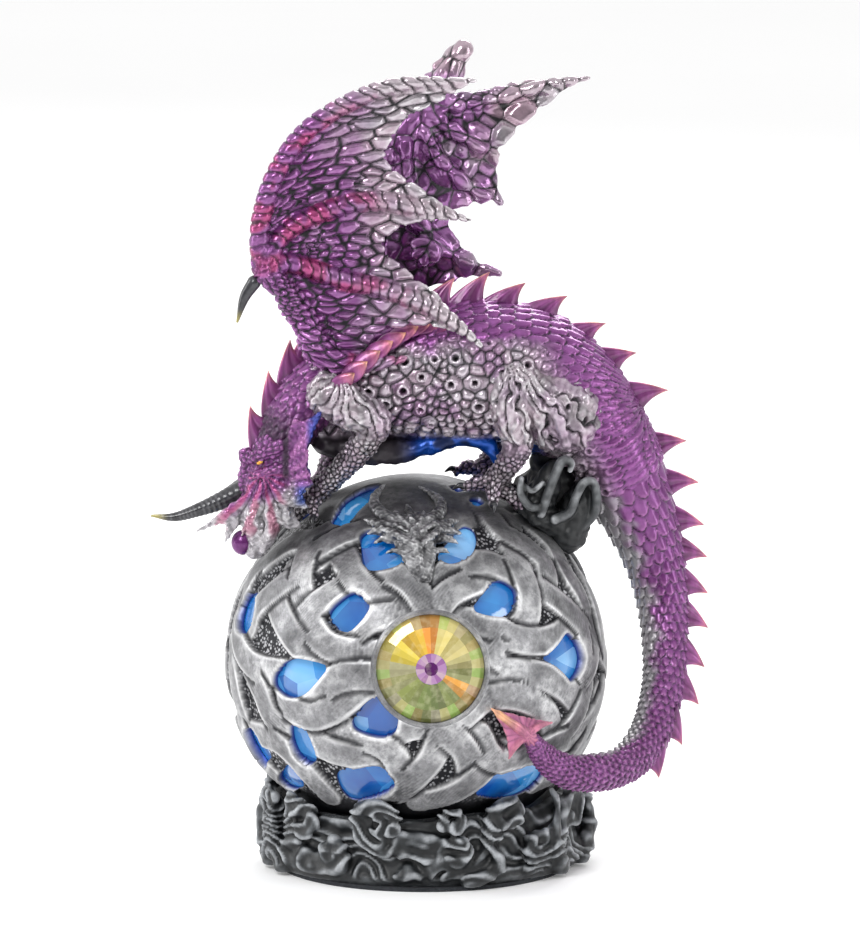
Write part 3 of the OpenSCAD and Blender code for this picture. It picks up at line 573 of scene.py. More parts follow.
class Graph:
    """A material's nodes, with short calls for the kinds used here."""

    def __init__(self, name):
        self.mat = bpy.data.materials.new(name)
        self.mat.use_nodes = True
        self.nodes = self.mat.node_tree.nodes
        self.links = self.mat.node_tree.links
        self.shader = self.nodes["Principled BSDF"]
        self.coords = self.nodes.new("ShaderNodeTexCoord")

    def set(self, **values):
        for key, value in values.items():
            self.shader.inputs[key.replace("_", " ")].default_value = value
        return self

    def join(self, a, b):
        self.links.new(a, b)

    def attribute(self, name, colour=False):
        node = self.nodes.new("ShaderNodeAttribute")
        node.attribute_name = name
        return node.outputs["Color" if colour else "Fac"]

    def noise(self, scale, detail=4.0, rough=0.55, stretch=None):
        node = self.nodes.new("ShaderNodeTexNoise")
        node.inputs["Scale"].default_value = scale
        node.inputs["Detail"].default_value = detail
        node.inputs["Roughness"].default_value = rough
        source = self.coords.outputs["Object"]
        if stretch:
            mapping = self.nodes.new("ShaderNodeMapping")
            mapping.inputs["Scale"].default_value = stretch
            self.join(source, mapping.inputs["Vector"])
            source = mapping.outputs["Vector"]
        self.join(source, node.inputs["Vector"])
        return node.outputs["Fac"]

    def cells(self, scale, feature="F1"):
        node = self.nodes.new("ShaderNodeTexVoronoi")
        node.feature = feature
        node.inputs["Scale"].default_value = scale
        self.join(self.coords.outputs["Object"], node.inputs["Vector"])
        return node.outputs["Distance"]

    def ramp(self, source, stops):
        node = self.nodes.new("ShaderNodeValToRGB")
        items = node.color_ramp.elements
        while len(items) < len(stops):
            items.new(0.5)
        for item, (place, colour) in zip(items, stops):
            item.position = place
            item.color = (*colour, 1) if len(np.atleast_1d(colour)) == 3 else (colour,) * 3 + (1,)
        self.join(source, node.inputs["Fac"])
        return node.outputs["Color"]

    def mix(self, factor, a, b, kind="MIX"):
        node = self.nodes.new("ShaderNodeMix")
        node.data_type = "RGBA"
        node.blend_type = kind
        sockets = [s for s in node.inputs if s.enabled]
        for socket, value in zip(sockets, (factor, a, b)):
            if isinstance(value, bpy.types.NodeSocket):
                self.join(value, socket)
            elif isinstance(value, (int, float)):
                socket.default_value = value
            else:
                socket.default_value = (*value, 1)
        return [s for s in node.outputs if s.enabled][0]

    def scaled(self, source, factor, add=0.0):
        node = self.nodes.new("ShaderNodeMath")
        node.operation = "MULTIPLY_ADD"
        node.use_clamp = True
        self.join(source, node.inputs[0])
        node.inputs[1].default_value = factor
        node.inputs[2].default_value = add
        return node.outputs[0]

    def bump(self, source, depth, strength=0.6):
        node = self.nodes.new("ShaderNodeBump")
        node.inputs["Strength"].default_value = strength
        node.inputs["Distance"].default_value = depth * MM
        self.join(source, node.inputs["Height"])
        self.join(node.outputs["Normal"], self.shader.inputs["Normal"])

    def colour(self, socket):
        self.join(socket, self.shader.inputs["Base Color"])

    def rough(self, source, low, high):
        node = self.nodes.new("ShaderNodeMapRange")
        node.inputs["To Min"].default_value = low
        node.inputs["To Max"].default_value = high
        self.join(source, node.inputs["Value"])
        self.join(node.outputs["Result"], self.shader.inputs["Roughness"])


BLACK = (0.005, 0.005, 0.007)
SILVER = (0.40, 0.40, 0.42)
WHITE_PINK = (0.46, 0.30, 0.38)
PURPLE = (0.13, 0.018, 0.14)
LILAC = (0.26, 0.075, 0.28)
PINK = (0.42, 0.05, 0.16)


def painted(name, bare, dyed, light, metallic=0.5, rough=(0.24, 0.5), wash_and_shade=1.0, cell_mix=0.6,
            coat=0.15):
    """Pearl paint over resin: bare turns to dyed with tint, stones differ a little, crests
    are dry-brushed light, with some painted highlights, and hollows are washed black; the same
    black also lays painted shade where parts lie in shadow, and a blue mix paints the orb's light."""
    g = Graph(name)
    g.set(Metallic=metallic, Coat_Weight=coat, Coat_Roughness=0.15)
    cloud = g.noise(140, 5)
    tint = g.attribute("tint")
    base = g.mix(tint, bare[0], dyed[0])
    other = g.mix(tint, bare[1], dyed[1])
    base = g.mix(g.scaled(g.attribute("cell"), cell_mix), base, other)
    base = g.mix(g.scaled(g.ramp(cloud, [(0.4, 0.0), (0.7, 1.0)]), 0.45), base, other)
    bright = g.mix(tint, light[0], light[1])
    # crest colour: dry-brushed light, plus painted highlights such as the bright patches on the jaw
    base = g.mix(g.scaled(g.attribute("peak"), 0.8), base, bright)
    base = g.mix(g.attribute("pink"), base, PINK)
    # painted light: the orb's blue glow on the dragon's underside and head
    base = g.mix(g.attribute("blue"), base, (0.0, 0.07, 0.42))
    grime = g.ramp(g.noise(420, 6, 0.65), [(0.42, 0.0), (0.75, 0.5)])
    base = g.mix(g.scaled(grime, 0.7), base, BLACK)
    # dark mix: black wash in hollows, and painted shade where parts lie in shadow
    base = g.mix(g.scaled(g.attribute("wash_and_shade"), wash_and_shade), base, BLACK)
    g.colour(base)
    g.rough(g.attribute("wash_and_shade"), *rough)
    g.bump(g.noise(900, 5, 0.6), 0.12)
    return g.mat


def crest_material():
    """Spikes: purple at the foot, pink then orange-yellow towards the tip."""
    g = Graph("crest_paint")
    g.set(Metallic=0.35, Coat_Weight=0.4, Coat_Roughness=0.1)
    tip = g.attribute("tip")
    base = g.ramp(tip, [(0.0, (0.17, 0.035, 0.17)), (0.45, (0.30, 0.07, 0.25)),
                        (0.72, (0.60, 0.18, 0.28)), (0.95, (0.90, 0.48, 0.24))])
    base = g.mix(g.scaled(g.ramp(g.noise(500, 4, 0.5, (1, 1, 0.3)), [(0.4, 0), (0.62, 1)]), 0.55),
                 base, (0.10, 0.015, 0.07))
    base = g.mix(g.scaled(g.attribute("wash_and_shade"), 0.6), base, BLACK)
    base = g.mix(g.scaled(g.attribute("peak"), 0.6), base, (0.95, 0.45, 0.45))
    g.colour(base)
    g.rough(g.noise(300), 0.2, 0.5)
    g.bump(g.noise(700, 4), 0.15)
    return g.mat


def horn_material():
    """Black lacquer with fine growth lines and a yellow-brushed tip."""
    g = Graph("horn_paint")
    g.set(Metallic=0.2, Coat_Weight=0.5, Coat_Roughness=0.1)
    base = g.ramp(g.noise(260, 6, 0.7), [(0.35, (0.008, 0.008, 0.010)), (0.75, (0.05, 0.05, 0.06))])
    base = g.mix(g.scaled(g.attribute("tip"), 0.8), base, (0.42, 0.36, 0.10))
    base = g.mix(g.scaled(g.attribute("peak"), 0.35), base, (0.3, 0.3, 0.32))
    g.colour(base)
    g.rough(g.noise(500), 0.22, 0.45)
    g.bump(g.noise(600, 5), 0.15)
    return g.mat


def strap_material():
    """Silver straps: mottled metal paint, washed dark at the strap edges, with painted shade on top,
    low down and at the sides, and pebbled pits.
    """
    g = Graph("silver_straps")
    g.set(Metallic=0.72, Coat_Weight=0.1, Coat_Roughness=0.3)
    cloud = g.ramp(g.noise(95, 7, 0.68), [(0.34, (0.08, 0.08, 0.085)), (0.5, (0.27, 0.27, 0.28)),
                                          (0.66, (0.62, 0.62, 0.63))])
    speck = g.ramp(g.noise(520, 6, 0.75), [(0.38, 1.0), (0.52, 0.0)])
    base = g.mix(g.scaled(speck, 0.5), cloud, (0.08, 0.08, 0.09))
    base = g.mix(g.scaled(g.attribute("peak"), 0.9), base, (0.95, 0.95, 0.96))
    # dark mix: wash at the strap edges and painted shade
    base = g.mix(g.scaled(g.attribute("wash_and_shade"), 1.0), base, (0.012, 0.012, 0.015))
    pebbles = g.ramp(g.cells(1050), [(0.22, (0.42, 0.42, 0.44)), (0.5, (0.006, 0.006, 0.009))])
    base = g.mix(g.attribute("pit"), base, pebbles)
    base = g.mix(g.attribute("glass"), base, (0.005, 0.05, 0.35))
    g.colour(base)
    g.rough(g.noise(240, 5), 0.3, 0.55)
    g.bump(g.noise(420, 7, 0.7), 0.25)
    return g.mat


def rock_material():
    """Charcoal resin, dry-brushed grey on its crests; the brightest crests are lighter dry-brush on
    the plinth and painted highlights on the perch's curls.
    """
    g = Graph("rock_paint")
    g.set(Metallic=0.1, Coat_Weight=0.12, Coat_Roughness=0.3)
    base = g.ramp(g.noise(120, 6, 0.65), [(0.35, (0.004, 0.005, 0.006)), (0.7, (0.02, 0.023, 0.026))])
    crest_light_patches = g.ramp(g.noise(260, 5, 0.6), [(0.38, 0.35), (0.6, 1.0)])
    base = g.mix(g.scaled(g.mix(1.0, g.attribute("peak"), crest_light_patches, "MULTIPLY"), 1.0), base,
                 (0.26, 0.28, 0.30))
    # brightest crests: dry-brush on the plinth, painted highlights on the perch's curls
    base = g.mix(g.scaled(g.mix(1.0, g.attribute("bright"), crest_light_patches, "MULTIPLY"), 0.9), base,
                 (0.74, 0.76, 0.79))
    base = g.mix(g.scaled(g.attribute("wash_and_shade"), 0.9), base, (0.004, 0.005, 0.006))
    g.colour(base)
    g.rough(g.noise(300), 0.35, 0.65)
    g.bump(g.noise(500, 6, 0.65), 0.3)
    return g.mat


def globe_material():
    """Blue translucent plastic, lit a little from inside, with lighter and darker facets painted in
    as reflections.
    """
    g = Graph("blue_globe")
    g.set(Roughness=0.06, Coat_Weight=1.0, Coat_Roughness=0.03, Emission_Strength=0.22)
    # painted reflections: lighter and darker facets, and the flow noise below, stand in for
    # reflections inside the clear globe
    reflection_cells = g.nodes.new("ShaderNodeTexVoronoi")
    reflection_cells.inputs["Scale"].default_value = 95
    g.join(g.coords.outputs["Object"], reflection_cells.inputs["Vector"])
    split = g.nodes.new("ShaderNodeSeparateColor")
    g.join(reflection_cells.outputs["Color"], split.inputs["Color"])
    base = g.ramp(split.outputs["Red"], [(0.0, (0.005, 0.03, 0.24)), (0.35, (0.0, 0.12, 0.42)),
                                         (0.7, (0.01, 0.23, 0.56)), (1.0, (0.28, 0.52, 0.78))])
    flow = g.ramp(g.noise(60, 3, 0.5), [(0.4, (0.0, 0.07, 0.32)), (0.65, (0.06, 0.32, 0.66))])
    base = g.mix(0.45, base, flow)
    g.colour(base)
    g.join(base, g.shader.inputs["Emission Color"])
    g.bump(g.noise(160, 2), 0.3, 0.3)
    return g.mat


def gem_material():
    """Rainbow-coated cut crystal: each facet has its own colour, and the crystal has a faint painted
    glow.
    """
    g = Graph("coated_crystal")
    # Emission_Strength: a painted glow, though the gem is no lamp
    g.set(Metallic=0.2, Roughness=0.12, Coat_Weight=0.5, Coat_Roughness=0.03,
          Emission_Strength=0.12)
    facet = g.attribute("facet", colour=True)
    base = g.mix(g.scaled(g.ramp(g.noise(500, 3), [(0.45, 0), (0.7, 1)]), 0.18), facet,
                 (0.9, 0.85, 0.55))
    g.colour(base)
    g.join(base, g.shader.inputs["Emission Color"])
    return g.mat


def plain_material(name, low, high, metallic=0.0, rough=(0.35, 0.6), scale=300, bump=0.1, coat=0.0):
    """A moulded or plated surface with slight colour and roughness variation."""
    g = Graph(name)
    g.set(Metallic=metallic, Coat_Weight=coat)
    g.colour(g.ramp(g.noise(scale, 5), [(0.3, low), (0.7, high)]))
    g.rough(g.noise(scale * 1.7, 4), *rough)
    g.bump(g.noise(scale * 3, 5), bump)
    return g.mat


GLINT = (0.80, 0.78, 0.80)
skin_paint = painted("scale_paint", (SILVER, WHITE_PINK), (LILAC, PURPLE),
                     (GLINT, (0.45, 0.15, 0.42)))
purple_paint = painted("purple_paint", (SILVER, (0.34, 0.28, 0.33)), (PURPLE, LILAC),
                       (GLINT, (0.48, 0.18, 0.44)), metallic=0.4)
wing_paint = painted("wing_paint", (SILVER, WHITE_PINK), (PURPLE, LILAC),
                     (GLINT, (0.50, 0.22, 0.50)), metallic=0.55, rough=(0.18, 0.5), cell_mix=0.9)
gloss_paint = painted("far_wing_paint", (SILVER, WHITE_PINK),
                      ((0.19, 0.04, 0.21), (0.38, 0.17, 0.40)), (GLINT, (0.62, 0.36, 0.62)),
                      metallic=0.6, rough=(0.12, 0.4), cell_mix=1.0, coat=0.5)
crest_paint = crest_material()
horn_paint = horn_material()
strap_paint = strap_material()
rock_paint = rock_material()
globe_paint = globe_material()
gem_paint = gem_material()


# ---------------------------------------------------------------- crest spikes

def spikes(name, rows, slot, lean=4.0, broad=5.2):
    """Ribbed, thorn-shaped blades that hook back along the body."""
    parts, tips, washes = [], [], []
    rng = np.random.default_rng(len(rows))
    around = np.arange(28) * math.pi / 14
    levels = np.linspace(0, 1, 12)
    for x, y, z, r, angle, height in rows:
        a = math.radians(angle)
        out = np.array([math.cos(a), 0, math.sin(a)])
        back = np.array([math.sin(a), 0, -math.cos(a)])
        foot = np.array([x, y, z]) + out * (r - 1.6)
        height = height * rng.uniform(0.88, 1.12) + 1.6
        phase = rng.uniform(0, 6)
        rings = []
        ribs = 0.5 + 0.5 * np.cos(np.cos(around) * 8 + phase)
        for t in levels:
            wide = broad * (1 - t) ** 0.9 + 0.12
            thick = (1.15 + 0.75 * ribs) * (1 - t) ** 0.7 + 0.12
            centre = foot + out * height * t + back * (lean * t ** 2.2 - 1.4 * (1 - t))
            rings.append(centre + np.cos(around)[:, None] * back * wide
                         + (np.sin(around) * thick)[:, None] * SIDE)
        verts, faces = loft(rings)
        parts.append((verts, faces))
        edge = np.abs(np.cos(around))
        tip = np.clip(levels[:, None] * 0.8 + 0.35 * smoothstep(0.55, 1.0, edge), 0, 1)
        tips.append(np.concatenate([(tip * (0.5 + 0.5 * levels[:, None])).ravel(), [0, 1]]))
        wash_and_shade = smoothstep(0.35, 0.02, ribs) * 0.75 * (1 - levels[:, None] ** 2)
        wash_and_shade = np.maximum(wash_and_shade, 0.7 * smoothstep(0.3, 0.12, levels)[:, None])
        washes.append(np.concatenate([wash_and_shade.ravel(), [0, 0]]))
    skin = Skin(parts)
    skin.paint["tip"] = np.concatenate(tips)
    skin.paint["wash_and_shade"] = np.concatenate(washes)
    return skin.piece(name, crest_paint, slot)


# ---------------------------------------------------------------- torso, neck and tail

def make_torso():
    # ribbon: rolls of body under the belly that fill the dark area below it; painted shadow and the
    # orb's painted blue glow are laid on them below
    ribbon = [[-27, -2, 114, 2.4], [-22, -3, 109, 3.2], [-14, -4, 107.3, 3.4], [-5, -5, 107.5, 3],
              [4, -6, 109.3, 2.4], [12, -7, 110.6, 2.2], [18, -8, 109, 2.1],
              [21.5, -8.5, 104, 1.5]]
    skin = Skin([tube(TORSO, 26, 7), ball((14, 0, 128), (24, 16.5, 15.5)),
                 ball((34, 0, 121), (16, 16, 16)), ball((-14, 0, 126), (13, 13.5, 12)),
                 tube(ribbon, 12, 6), tube([[r[0], -r[1], *r[2:]] for r in ribbon], 12, 6),
                 tube([[r[0], 0, r[2] + 1.5, r[3] + 1.5] for r in ribbon[:-2]], 12, 6)],
                0.46, 7)
    place = along_line(skin.v, TORSO)[0]
    top = np.abs(np.arctan2(skin.v[:, 1], (skin.v[:, 2] - 124)))
    rump = smoothstep(27, 41, skin.v[:, 0] + 0.45 * (skin.v[:, 2] - 125))
    dorsal = np.maximum(smoothstep(1.05, 0.75, top + 0.08 * waves(skin.v, 9, 3)), rump)
    belly = smoothstep(112.5, 110.5, skin.v[:, 2]) * smoothstep(34, 29, skin.v[:, 0])
    skin.paint["tint"] = dorsal
    skin.raise_by(belly * (0.5 * waves(skin.v, 7, 10, 2) + 0.15 * waves(skin.v, 2.2, 11, 1)))
    around = np.arctan2(skin.v[:, 1], skin.v[:, 2] - 124 + (skin.v[:, 0] > 36) * 6)
    cobbles(skin, 1.9 + 0.7 * waves(skin.v, 16, 5), 0.95, 4, craters=5.2,
            amount=(1 - dorsal) * (1 - belly), round_off=0.85, groove=0.26)
    scales(skin, place, around, 1.15, columns=40, pitch=0.17, amount=dorsal)
    skin.relief(5, 2.0)
    # painted shadow on the underside: black towards the chest and in dark blotches further back
    skin.add("wash_and_shade", belly * smoothstep(4, -6, skin.v[:, 0]) * 0.9)
    skin.add("wash_and_shade", belly * 0.8 * smoothstep(-0.1, 0.6, waves(skin.v, 7, 9)))
    # painted light: the orb's blue glow on the rear of the underside
    skin.paint["blue"] = belly * smoothstep(-8, 0, skin.v[:, 0])
    skin.add("tint", 0.16 + 0.42 * smoothstep(0.0, 0.7, waves(skin.v, 13, 8)))
    skin.piece("dragon_torso_cast", skin_paint, "scale_resin", ("dragon_torso",))
    spikes("torso_crest", TORSO_SPIKES, "scale_resin")


def make_neck():
    skin = Skin([tube(NECK, 20, 7), ball((-19, -3, 128), (8, 10, 9))], 0.5, 6)
    place, angle = along_line(skin.v, NECK)[:2]
    scales(skin, place, angle, 1.0, columns=18, pitch=0.30)
    skin.paint["tint"] = np.ones(len(skin.v))
    skin.relief(5, 2.2)
    # painted shade: the neck darkens downwards and towards the head
    skin.add("wash_and_shade", 0.78 * smoothstep(121, 112, skin.v[:, 2] + 0.4 * (skin.v[:, 0] + 30)))
    skin.piece("dragon_neck_cast", purple_paint, "purple_resin", ("dragon_neck",))
    spikes("neck_crest", NECK_SPIKES, "purple_resin", lean=4.5, broad=5.4)


def make_tail():
    skin = Skin([tube(TAIL, 20, 8)], 0.42, 5)
    place, angle = along_line(skin.v, TAIL)[:2]
    scales(skin, place, angle, 1.25, columns=15, pitch=0.43)
    path = catmull(TAIL, 24)
    tree = kdtree.KDTree(len(path))
    for k, p in enumerate(path):
        tree.insert(p[:3], k)
    tree.balance()
    near = path[np.array([tree.find(p)[1] for p in skin.v])]
    off = unit(skin.v - near[:, :3])
    out = unit(near[:, :3] - np.array([20, 0, 62]))
    facing = (off * out).sum(1)
    inner = smoothstep(-0.3, -0.85, facing + 0.2 * waves(skin.v, 8, 6))
    skin.paint["tint"] = 1 - inner
    skin.relief(5, 1.9)
    skin.add("wash_and_shade", 0.15 * inner)
    skin.add("peak", 0.3 * inner * skin.paint["cell"])
    skin.piece("tail_cast", purple_paint, "purple_resin", ("tail",))
    spikes("tail_crest", TAIL_SPIKES, "purple_resin", lean=3.0, broad=4.6)


def make_tail_tip():
    """The arrowhead: three curved blades with a raised middle rib."""
    heart = np.array([24.4, -44.6, 41.8])
    tips = {"long": [15.3, -47.4, 49], "side": [31.4, -38.4, 43.4], "low": [20.1, -42.9, 35.2]}
    ribs = [[[26, -42.6, 39.7, 1.9], [*heart, 1.5], [20, -46.6, 45.4, 1.0], [*tips["long"], 0.3]],
            [[24.8, -44.4, 42, 1.2], [28.2, -41.8, 43.4, 0.9], [*tips["side"], 0.3]],
            [[24.4, -44.2, 41.4, 1.2], [21.8, -44.2, 38.8, 0.9], [*tips["low"], 0.3]]]
    parts = [tube(rib, 10) for rib in ribs]
    out = np.linspace(0, 1, 9)
    across = np.linspace(0, 1, 9)
    for other, cut in (("side", 0.06), ("low", 0.2)):
        edge = np.array([np.array(tips["long"]) * (1 - t) + np.array(tips[other]) * t
                         for t in across])
        edge = heart + (edge - heart) * (1 - cut * np.sin(math.pi * across))[:, None]
        grid = heart + (edge - heart)[None] * out[:, None, None]
        parts.append(slab(grid, 1.0))
    skin = Skin(parts, 0.28, 2)
    rel = skin.v - heart
    turn = np.arctan2(rel[:, 2], rel[:, 0])
    ridge = np.abs(np.sin(turn * 8 + 0.6 * waves(skin.v, 4, 15, 1)))
    near = smoothstep(1.7, 0.6, finger_reach(skin.v, ribs))
    skin.raise_by(0.22 * (ridge - 0.5) * (1 - near))
    skin.relief(4, 2.2)
    skin.add("wash_and_shade", (1 - near) * smoothstep(0.4, 0.05, ridge) * 0.7)
    spine = smoothstep(1.5, 0.5, finger_reach(skin.v, ribs[:1]))
    skin.paint["tip"] = np.clip(0.58 + 0.1 * near + 0.25 * skin.paint["peak"] + 0.35 * spine, 0, 1)
    skin.piece("tail_tip_cast", crest_paint, "pink_resin", ("tail_tip",))


# ---------------------------------------------------------------- wings

def membrane(first, second, scallop, bulge, skew=1.0, count=26, across=17):
    """The sheet between two fingers; its free edge is cut back in the middle."""
    a, b = catmull(first, 8), catmull(second, 8)
    t = np.linspace(0, 1, across)
    reach = 1 - scallop * np.sin(math.pi * t ** skew) ** 0.75
    grid = np.zeros((count, across, 3))
    for j, (share, m) in enumerate(zip(t, reach)):
        s = np.linspace(0, 1, count) * m
        pa = np.stack([np.interp(s, np.linspace(0, 1, len(a)), a[:, k]) for k in range(3)], 1)
        pb = np.stack([np.interp(s, np.linspace(0, 1, len(b)), b[:, k]) for k in range(3)], 1)
        grid[:, j] = pa * (1 - share) + pb * share
        grid[:, j, 1] += bulge * math.sin(math.pi * share) * np.sin(math.pi * np.clip(s, 0, 1) * 0.9)
    return slab(grid, 1.3)


def finger_reach(points, fingers):
    """How far each point is from the nearest finger's line."""
    lines = np.vstack([catmull(f, 20)[:, :3] for f in fingers])
    tree = kdtree.KDTree(len(lines))
    for k, p in enumerate(lines):
        tree.insert(p, k)
    tree.balance()
    return np.array([tree.find(p)[2] for p in points])


def wing_skin(fingers, scallops, bulge, skews, extra=()):
    parts = [tube([[*p[:3], p[3] + (0.4 if p is not f[-1] else -0.3)] for p in f], 12, 8)
             for f in fingers]
    for first, second, scallop, skew in zip(fingers, fingers[1:], scallops, skews):
        parts.append(membrane(first, second, scallop, bulge, skew))
    return Skin(parts + list(extra), 0.44, 3)


def fan_space(points, wrist, long, wide):
    """Coordinates in which round cells become cells stretched away from the wrist."""
    rel = points - np.array(wrist[:3])
    reach = np.linalg.norm(rel[:, [0, 2]], axis=1)
    turn = np.arctan2(rel[:, 2], rel[:, 0])
    return np.stack([reach / long, points[:, 1] * 1.2, turn * (6 + reach * 0.85) / wide], 1), reach


def make_near_wing():
    skin = wing_skin(LEFT_WING, (0.27, 0.40, 0.30), 2.4, (1.35, 1.0, 1.0))
    space, reach = fan_space(skin.v, LEFT_WRIST, 1.5, 0.9)
    bone = smoothstep(3.1, 2.2, finger_reach(skin.v, LEFT_WING))
    far = smoothstep(4, 45, reach)
    skin.raise_by(0.5 * waves(skin.v, 9, 20, 2) * (1 - bone))
    cobbles(skin, 1.5 + 2.2 * far + 0.9 * waves(skin.v, 14, 21), 0.85, 21, space=space,
            amount=1 - bone, groove=0.25, round_off=0.8)
    bands = 0.5 + 0.5 * np.sin(reach * 2 * math.pi / 2.6 + 1.2 * waves(skin.v, 7, 22))
    skin.raise_by(bone * 0.45 * smoothstep(0, 0.35, bands) - bone * 0.2)
    skin.add("wash_and_shade", bone * smoothstep(0.22, 0.02, bands) * 0.9)
    skin.relief(5, 1.9)
    skin.paint["tint"] = smoothstep(4, -26, skin.v[:, 0] + 7 * waves(skin.v, 16, 23)
                                    + 0.20 * (skin.v[:, 2] - 165))
    skin.paint["pink"] = (smoothstep(0.1, 0.7, bone) * 0.75 * skin.paint["tint"]
                          * smoothstep(-0.5, 0.6, waves(skin.v, 10, 24)))
    skin.piece("left_wing_cast", wing_paint, "purple_resin", ("wing_left",))


def make_far_wing():
    pearl = ball((3.2, 9.5, 156.5), (4.2, 3.2, 4.2))
    skin = wing_skin(RIGHT_WING, (0.10, 0.0, 0.34, 0.1), 1.5, (0.8, 1, 1, 1),
                     [tube(RIGHT_SPUR, 12, 8), pearl])
    near_tip = smoothstep(46, 37, skin.v[:, 0]) * smoothstep(209, 204, skin.v[:, 2])
    cobbles(skin, 4.6 + 3.0 * waves(skin.v, 13, 31), 0.75 * near_tip + 0.25, 31, groove=0.24,
            round_off=1.7)
    skin.relief(6, 0.45)
    skin.paint["tint"] = (smoothstep(27, 9, skin.v[:, 0] + 6 * waves(skin.v, 14, 32))
                          * smoothstep(204, 199, skin.v[:, 2]))
    skin.piece("right_wing_cast", gloss_paint, "purple_resin", ("wing_right",))


def make_wings():
    make_near_wing()
    make_far_wing()
    claw = Skin([tube(CLAW, 12, 8)])
    claw.paint["tip"] = smoothstep(146.5, 142.5, claw.v[:, 2])
    claw.piece("wing_claw_cast", horn_paint, "horn_resin", ("wing_claw",))


# ---------------------------------------------------------------- legs

def toes(foot, ends, knuckle=1.8):
    parts, claws = [], []
    foot = np.array(foot[:3])
    for end in ends:
        end = np.array(end, float)
        out = unit(end - ORB)
        mid = foot * 0.45 + end * 0.55
        mid = ORB + unit(mid - ORB) * (ORB_R + 2.6)
        tip = ORB + out * (ORB_R + 1.2)
        parts.append(tube([[*foot, 2.6], [*mid, knuckle], [*tip, 1.2]], 10, 6))
        parts.append(ball(mid + out * 0.5, 1.9, sides=10))
        claw_end = ORB + unit(tip + (tip - mid) * 0.9 - ORB) * (ORB_R + 0.5)
        claws.append(tube([[*tip, 1.0], [*((tip + claw_end) / 2 + out * 0.7), 0.75],
                           [*claw_end, 0.2]], 10, 5))
    return parts, claws


def folds(skin, centre, amount, count, depth, seed):
    """Deep, wavering skin folds that fan out from a centre, in the plane of the body."""
    rel = skin.v - np.array(centre, float)
    turn = np.arctan2(rel[:, 0], -rel[:, 2])
    warp = 1.3 * waves(skin.v, 9, seed, 2) + 0.6 * waves(skin.v, 3.5, seed + 1, 1)
    ridge = 1 - np.abs(np.sin(turn * count / 2 + warp))
    groove = smoothstep(0.62, 1.0, ridge)
    skin.raise_by(-depth * groove * amount + 0.25 * depth * (1 - ridge) * amount)
    skin.add("wash_and_shade", groove * amount)


def make_leg(name, nodes, line, ends, extra, seed, tint, fan_from, split, flip=False):
    rows = [[p[0], -p[1], *p[2:]] for p in line] if flip else line
    tips = [[p[0], -p[1], p[2]] for p in ends] if flip else ends
    turned = [[[p[0], -p[1], *p[2:]] for p in e] if flip else e for e in extra]
    parts, claws = toes(rows[-1], tips)
    parts.append(tube(rows, 16, 7))
    parts += [tube(e, 10, 6) for e in turned]
    skin = Skin(parts, 0.38, 3)
    upper = smoothstep(split - 3, split + 3, skin.v[:, 2])
    skin.raise_by(0.3 * waves(skin.v, 3.2, seed, 2))
    folds(skin, fan_from, upper, 27, 1.0, seed)
    cobbles(skin, 1.05, 0.42, seed, amount=1 - upper, groove=0.2, round_off=0.5)
    skin.relief(4, 3.0)
    skin.paint["tint"] = tint * smoothstep(0.1, 0.9, waves(skin.v, 12, seed + 2) * 0.5 + 0.5)
    skin.add("wash_and_shade", 0.5 * smoothstep(-0.2, 0.9, waves(skin.v, 8, seed + 4)))
    skin.piece(name, skin_paint, "scale_resin", nodes)
    nails = Skin(claws)
    nails.paint["tip"] = np.zeros(len(nails.v))
    nails.piece(name + "_claws", horn_paint, "horn_resin")


def make_legs():
    fore_extra = [
        [[-13, -15.2, 116, 2.4], [-10.5, -16.4, 117.3, 1.4], [-8, -17, 118.8, 0.3]],
        [[-26, -13.5, 126, 1.2], [-20, -17.5, 124.5, 1.8], [-15, -18.5, 119.5, 1.0]],
        [[-27, -12, 123, 1.2], [-21, -17, 120.5, 1.4], [-15, -18, 115.5, 0.8]],
        [[-19, -17.5, 126, 1.4], [-14, -18.5, 121.5, 1.4], [-12, -18, 117, 0.8]]]
    make_leg("foreleg_left_cast", ("foreleg_left",), FORELEG, FORELEG_TOES, fore_extra, 41, 0.25,
             (-20, -16, 131), 113)
    make_leg("foreleg_right_cast", ("foreleg_right",), FAR_FORELEG, FAR_FORELEG_TOES, [], 42, 0.5,
             (-20, 14, 131), 113)
    hind_extra = [
        [[22, -17.5, 129, 1.8], [22.5, -19.5, 122, 1.6], [24, -18.5, 114, 1.0]],
        [[25, -18.5, 128, 1.8], [29, -20.5, 121, 1.7], [31, -19.5, 112, 1.2]],
        [[28, -18.5, 127, 1.8], [34, -20.5, 120, 1.7], [36.5, -19, 111, 1.2]],
        [[31, -18, 126, 1.6], [39, -18.5, 119, 1.6], [41, -16.5, 110, 1.0]],
        [[24, -18, 126, 1.4], [26, -20, 118, 1.3], [27, -18.5, 110, 0.9]],
        [[23, -14.5, 105, 2], [25.5, -15.5, 106, 1.2], [27.5, -16, 107.5, 0.3]]]
    make_leg("hindleg_left_cast", ("hindleg_left",), HINDLEG, HINDLEG_TOES, hind_extra, 43, 0.35,
             (22, -16, 134), 109)
    make_leg("hindleg_right_cast", ("hindleg_right",), HINDLEG, HINDLEG_TOES, hind_extra, 44,
             0.5, (22, 16, 134), 109, flip=True)


# ---------------------------------------------------------------- head and horns

def fan(root, tips, scallop, thick=1.0):
    """A fin: a sheet from the root through every tip, cut back between them, with ribs."""
    root = np.array(root, float)
    parts = []
    for tip in tips:
        tip = np.array(tip, float)
        mid = (root * 0.5 + tip * 0.5)
        parts.append(tube([[*root, 1.1], [*mid, 0.8], [*tip, 0.25]], 8, 5))
    for a, b in zip(tips, tips[1:]):
        a, b = np.array(a, float), np.array(b, float)
        t = np.linspace(0, 1, 9)
        reach = 1 - scallop * np.sin(math.pi * t)
        s = np.linspace(0.05, 1, 10)
        grid = np.array([[root + ((a * (1 - u) + b * u) - root) * r * k
                          for u, r in zip(t, reach)] for k in s])
        parts.append(slab(grid, thick))
    return parts


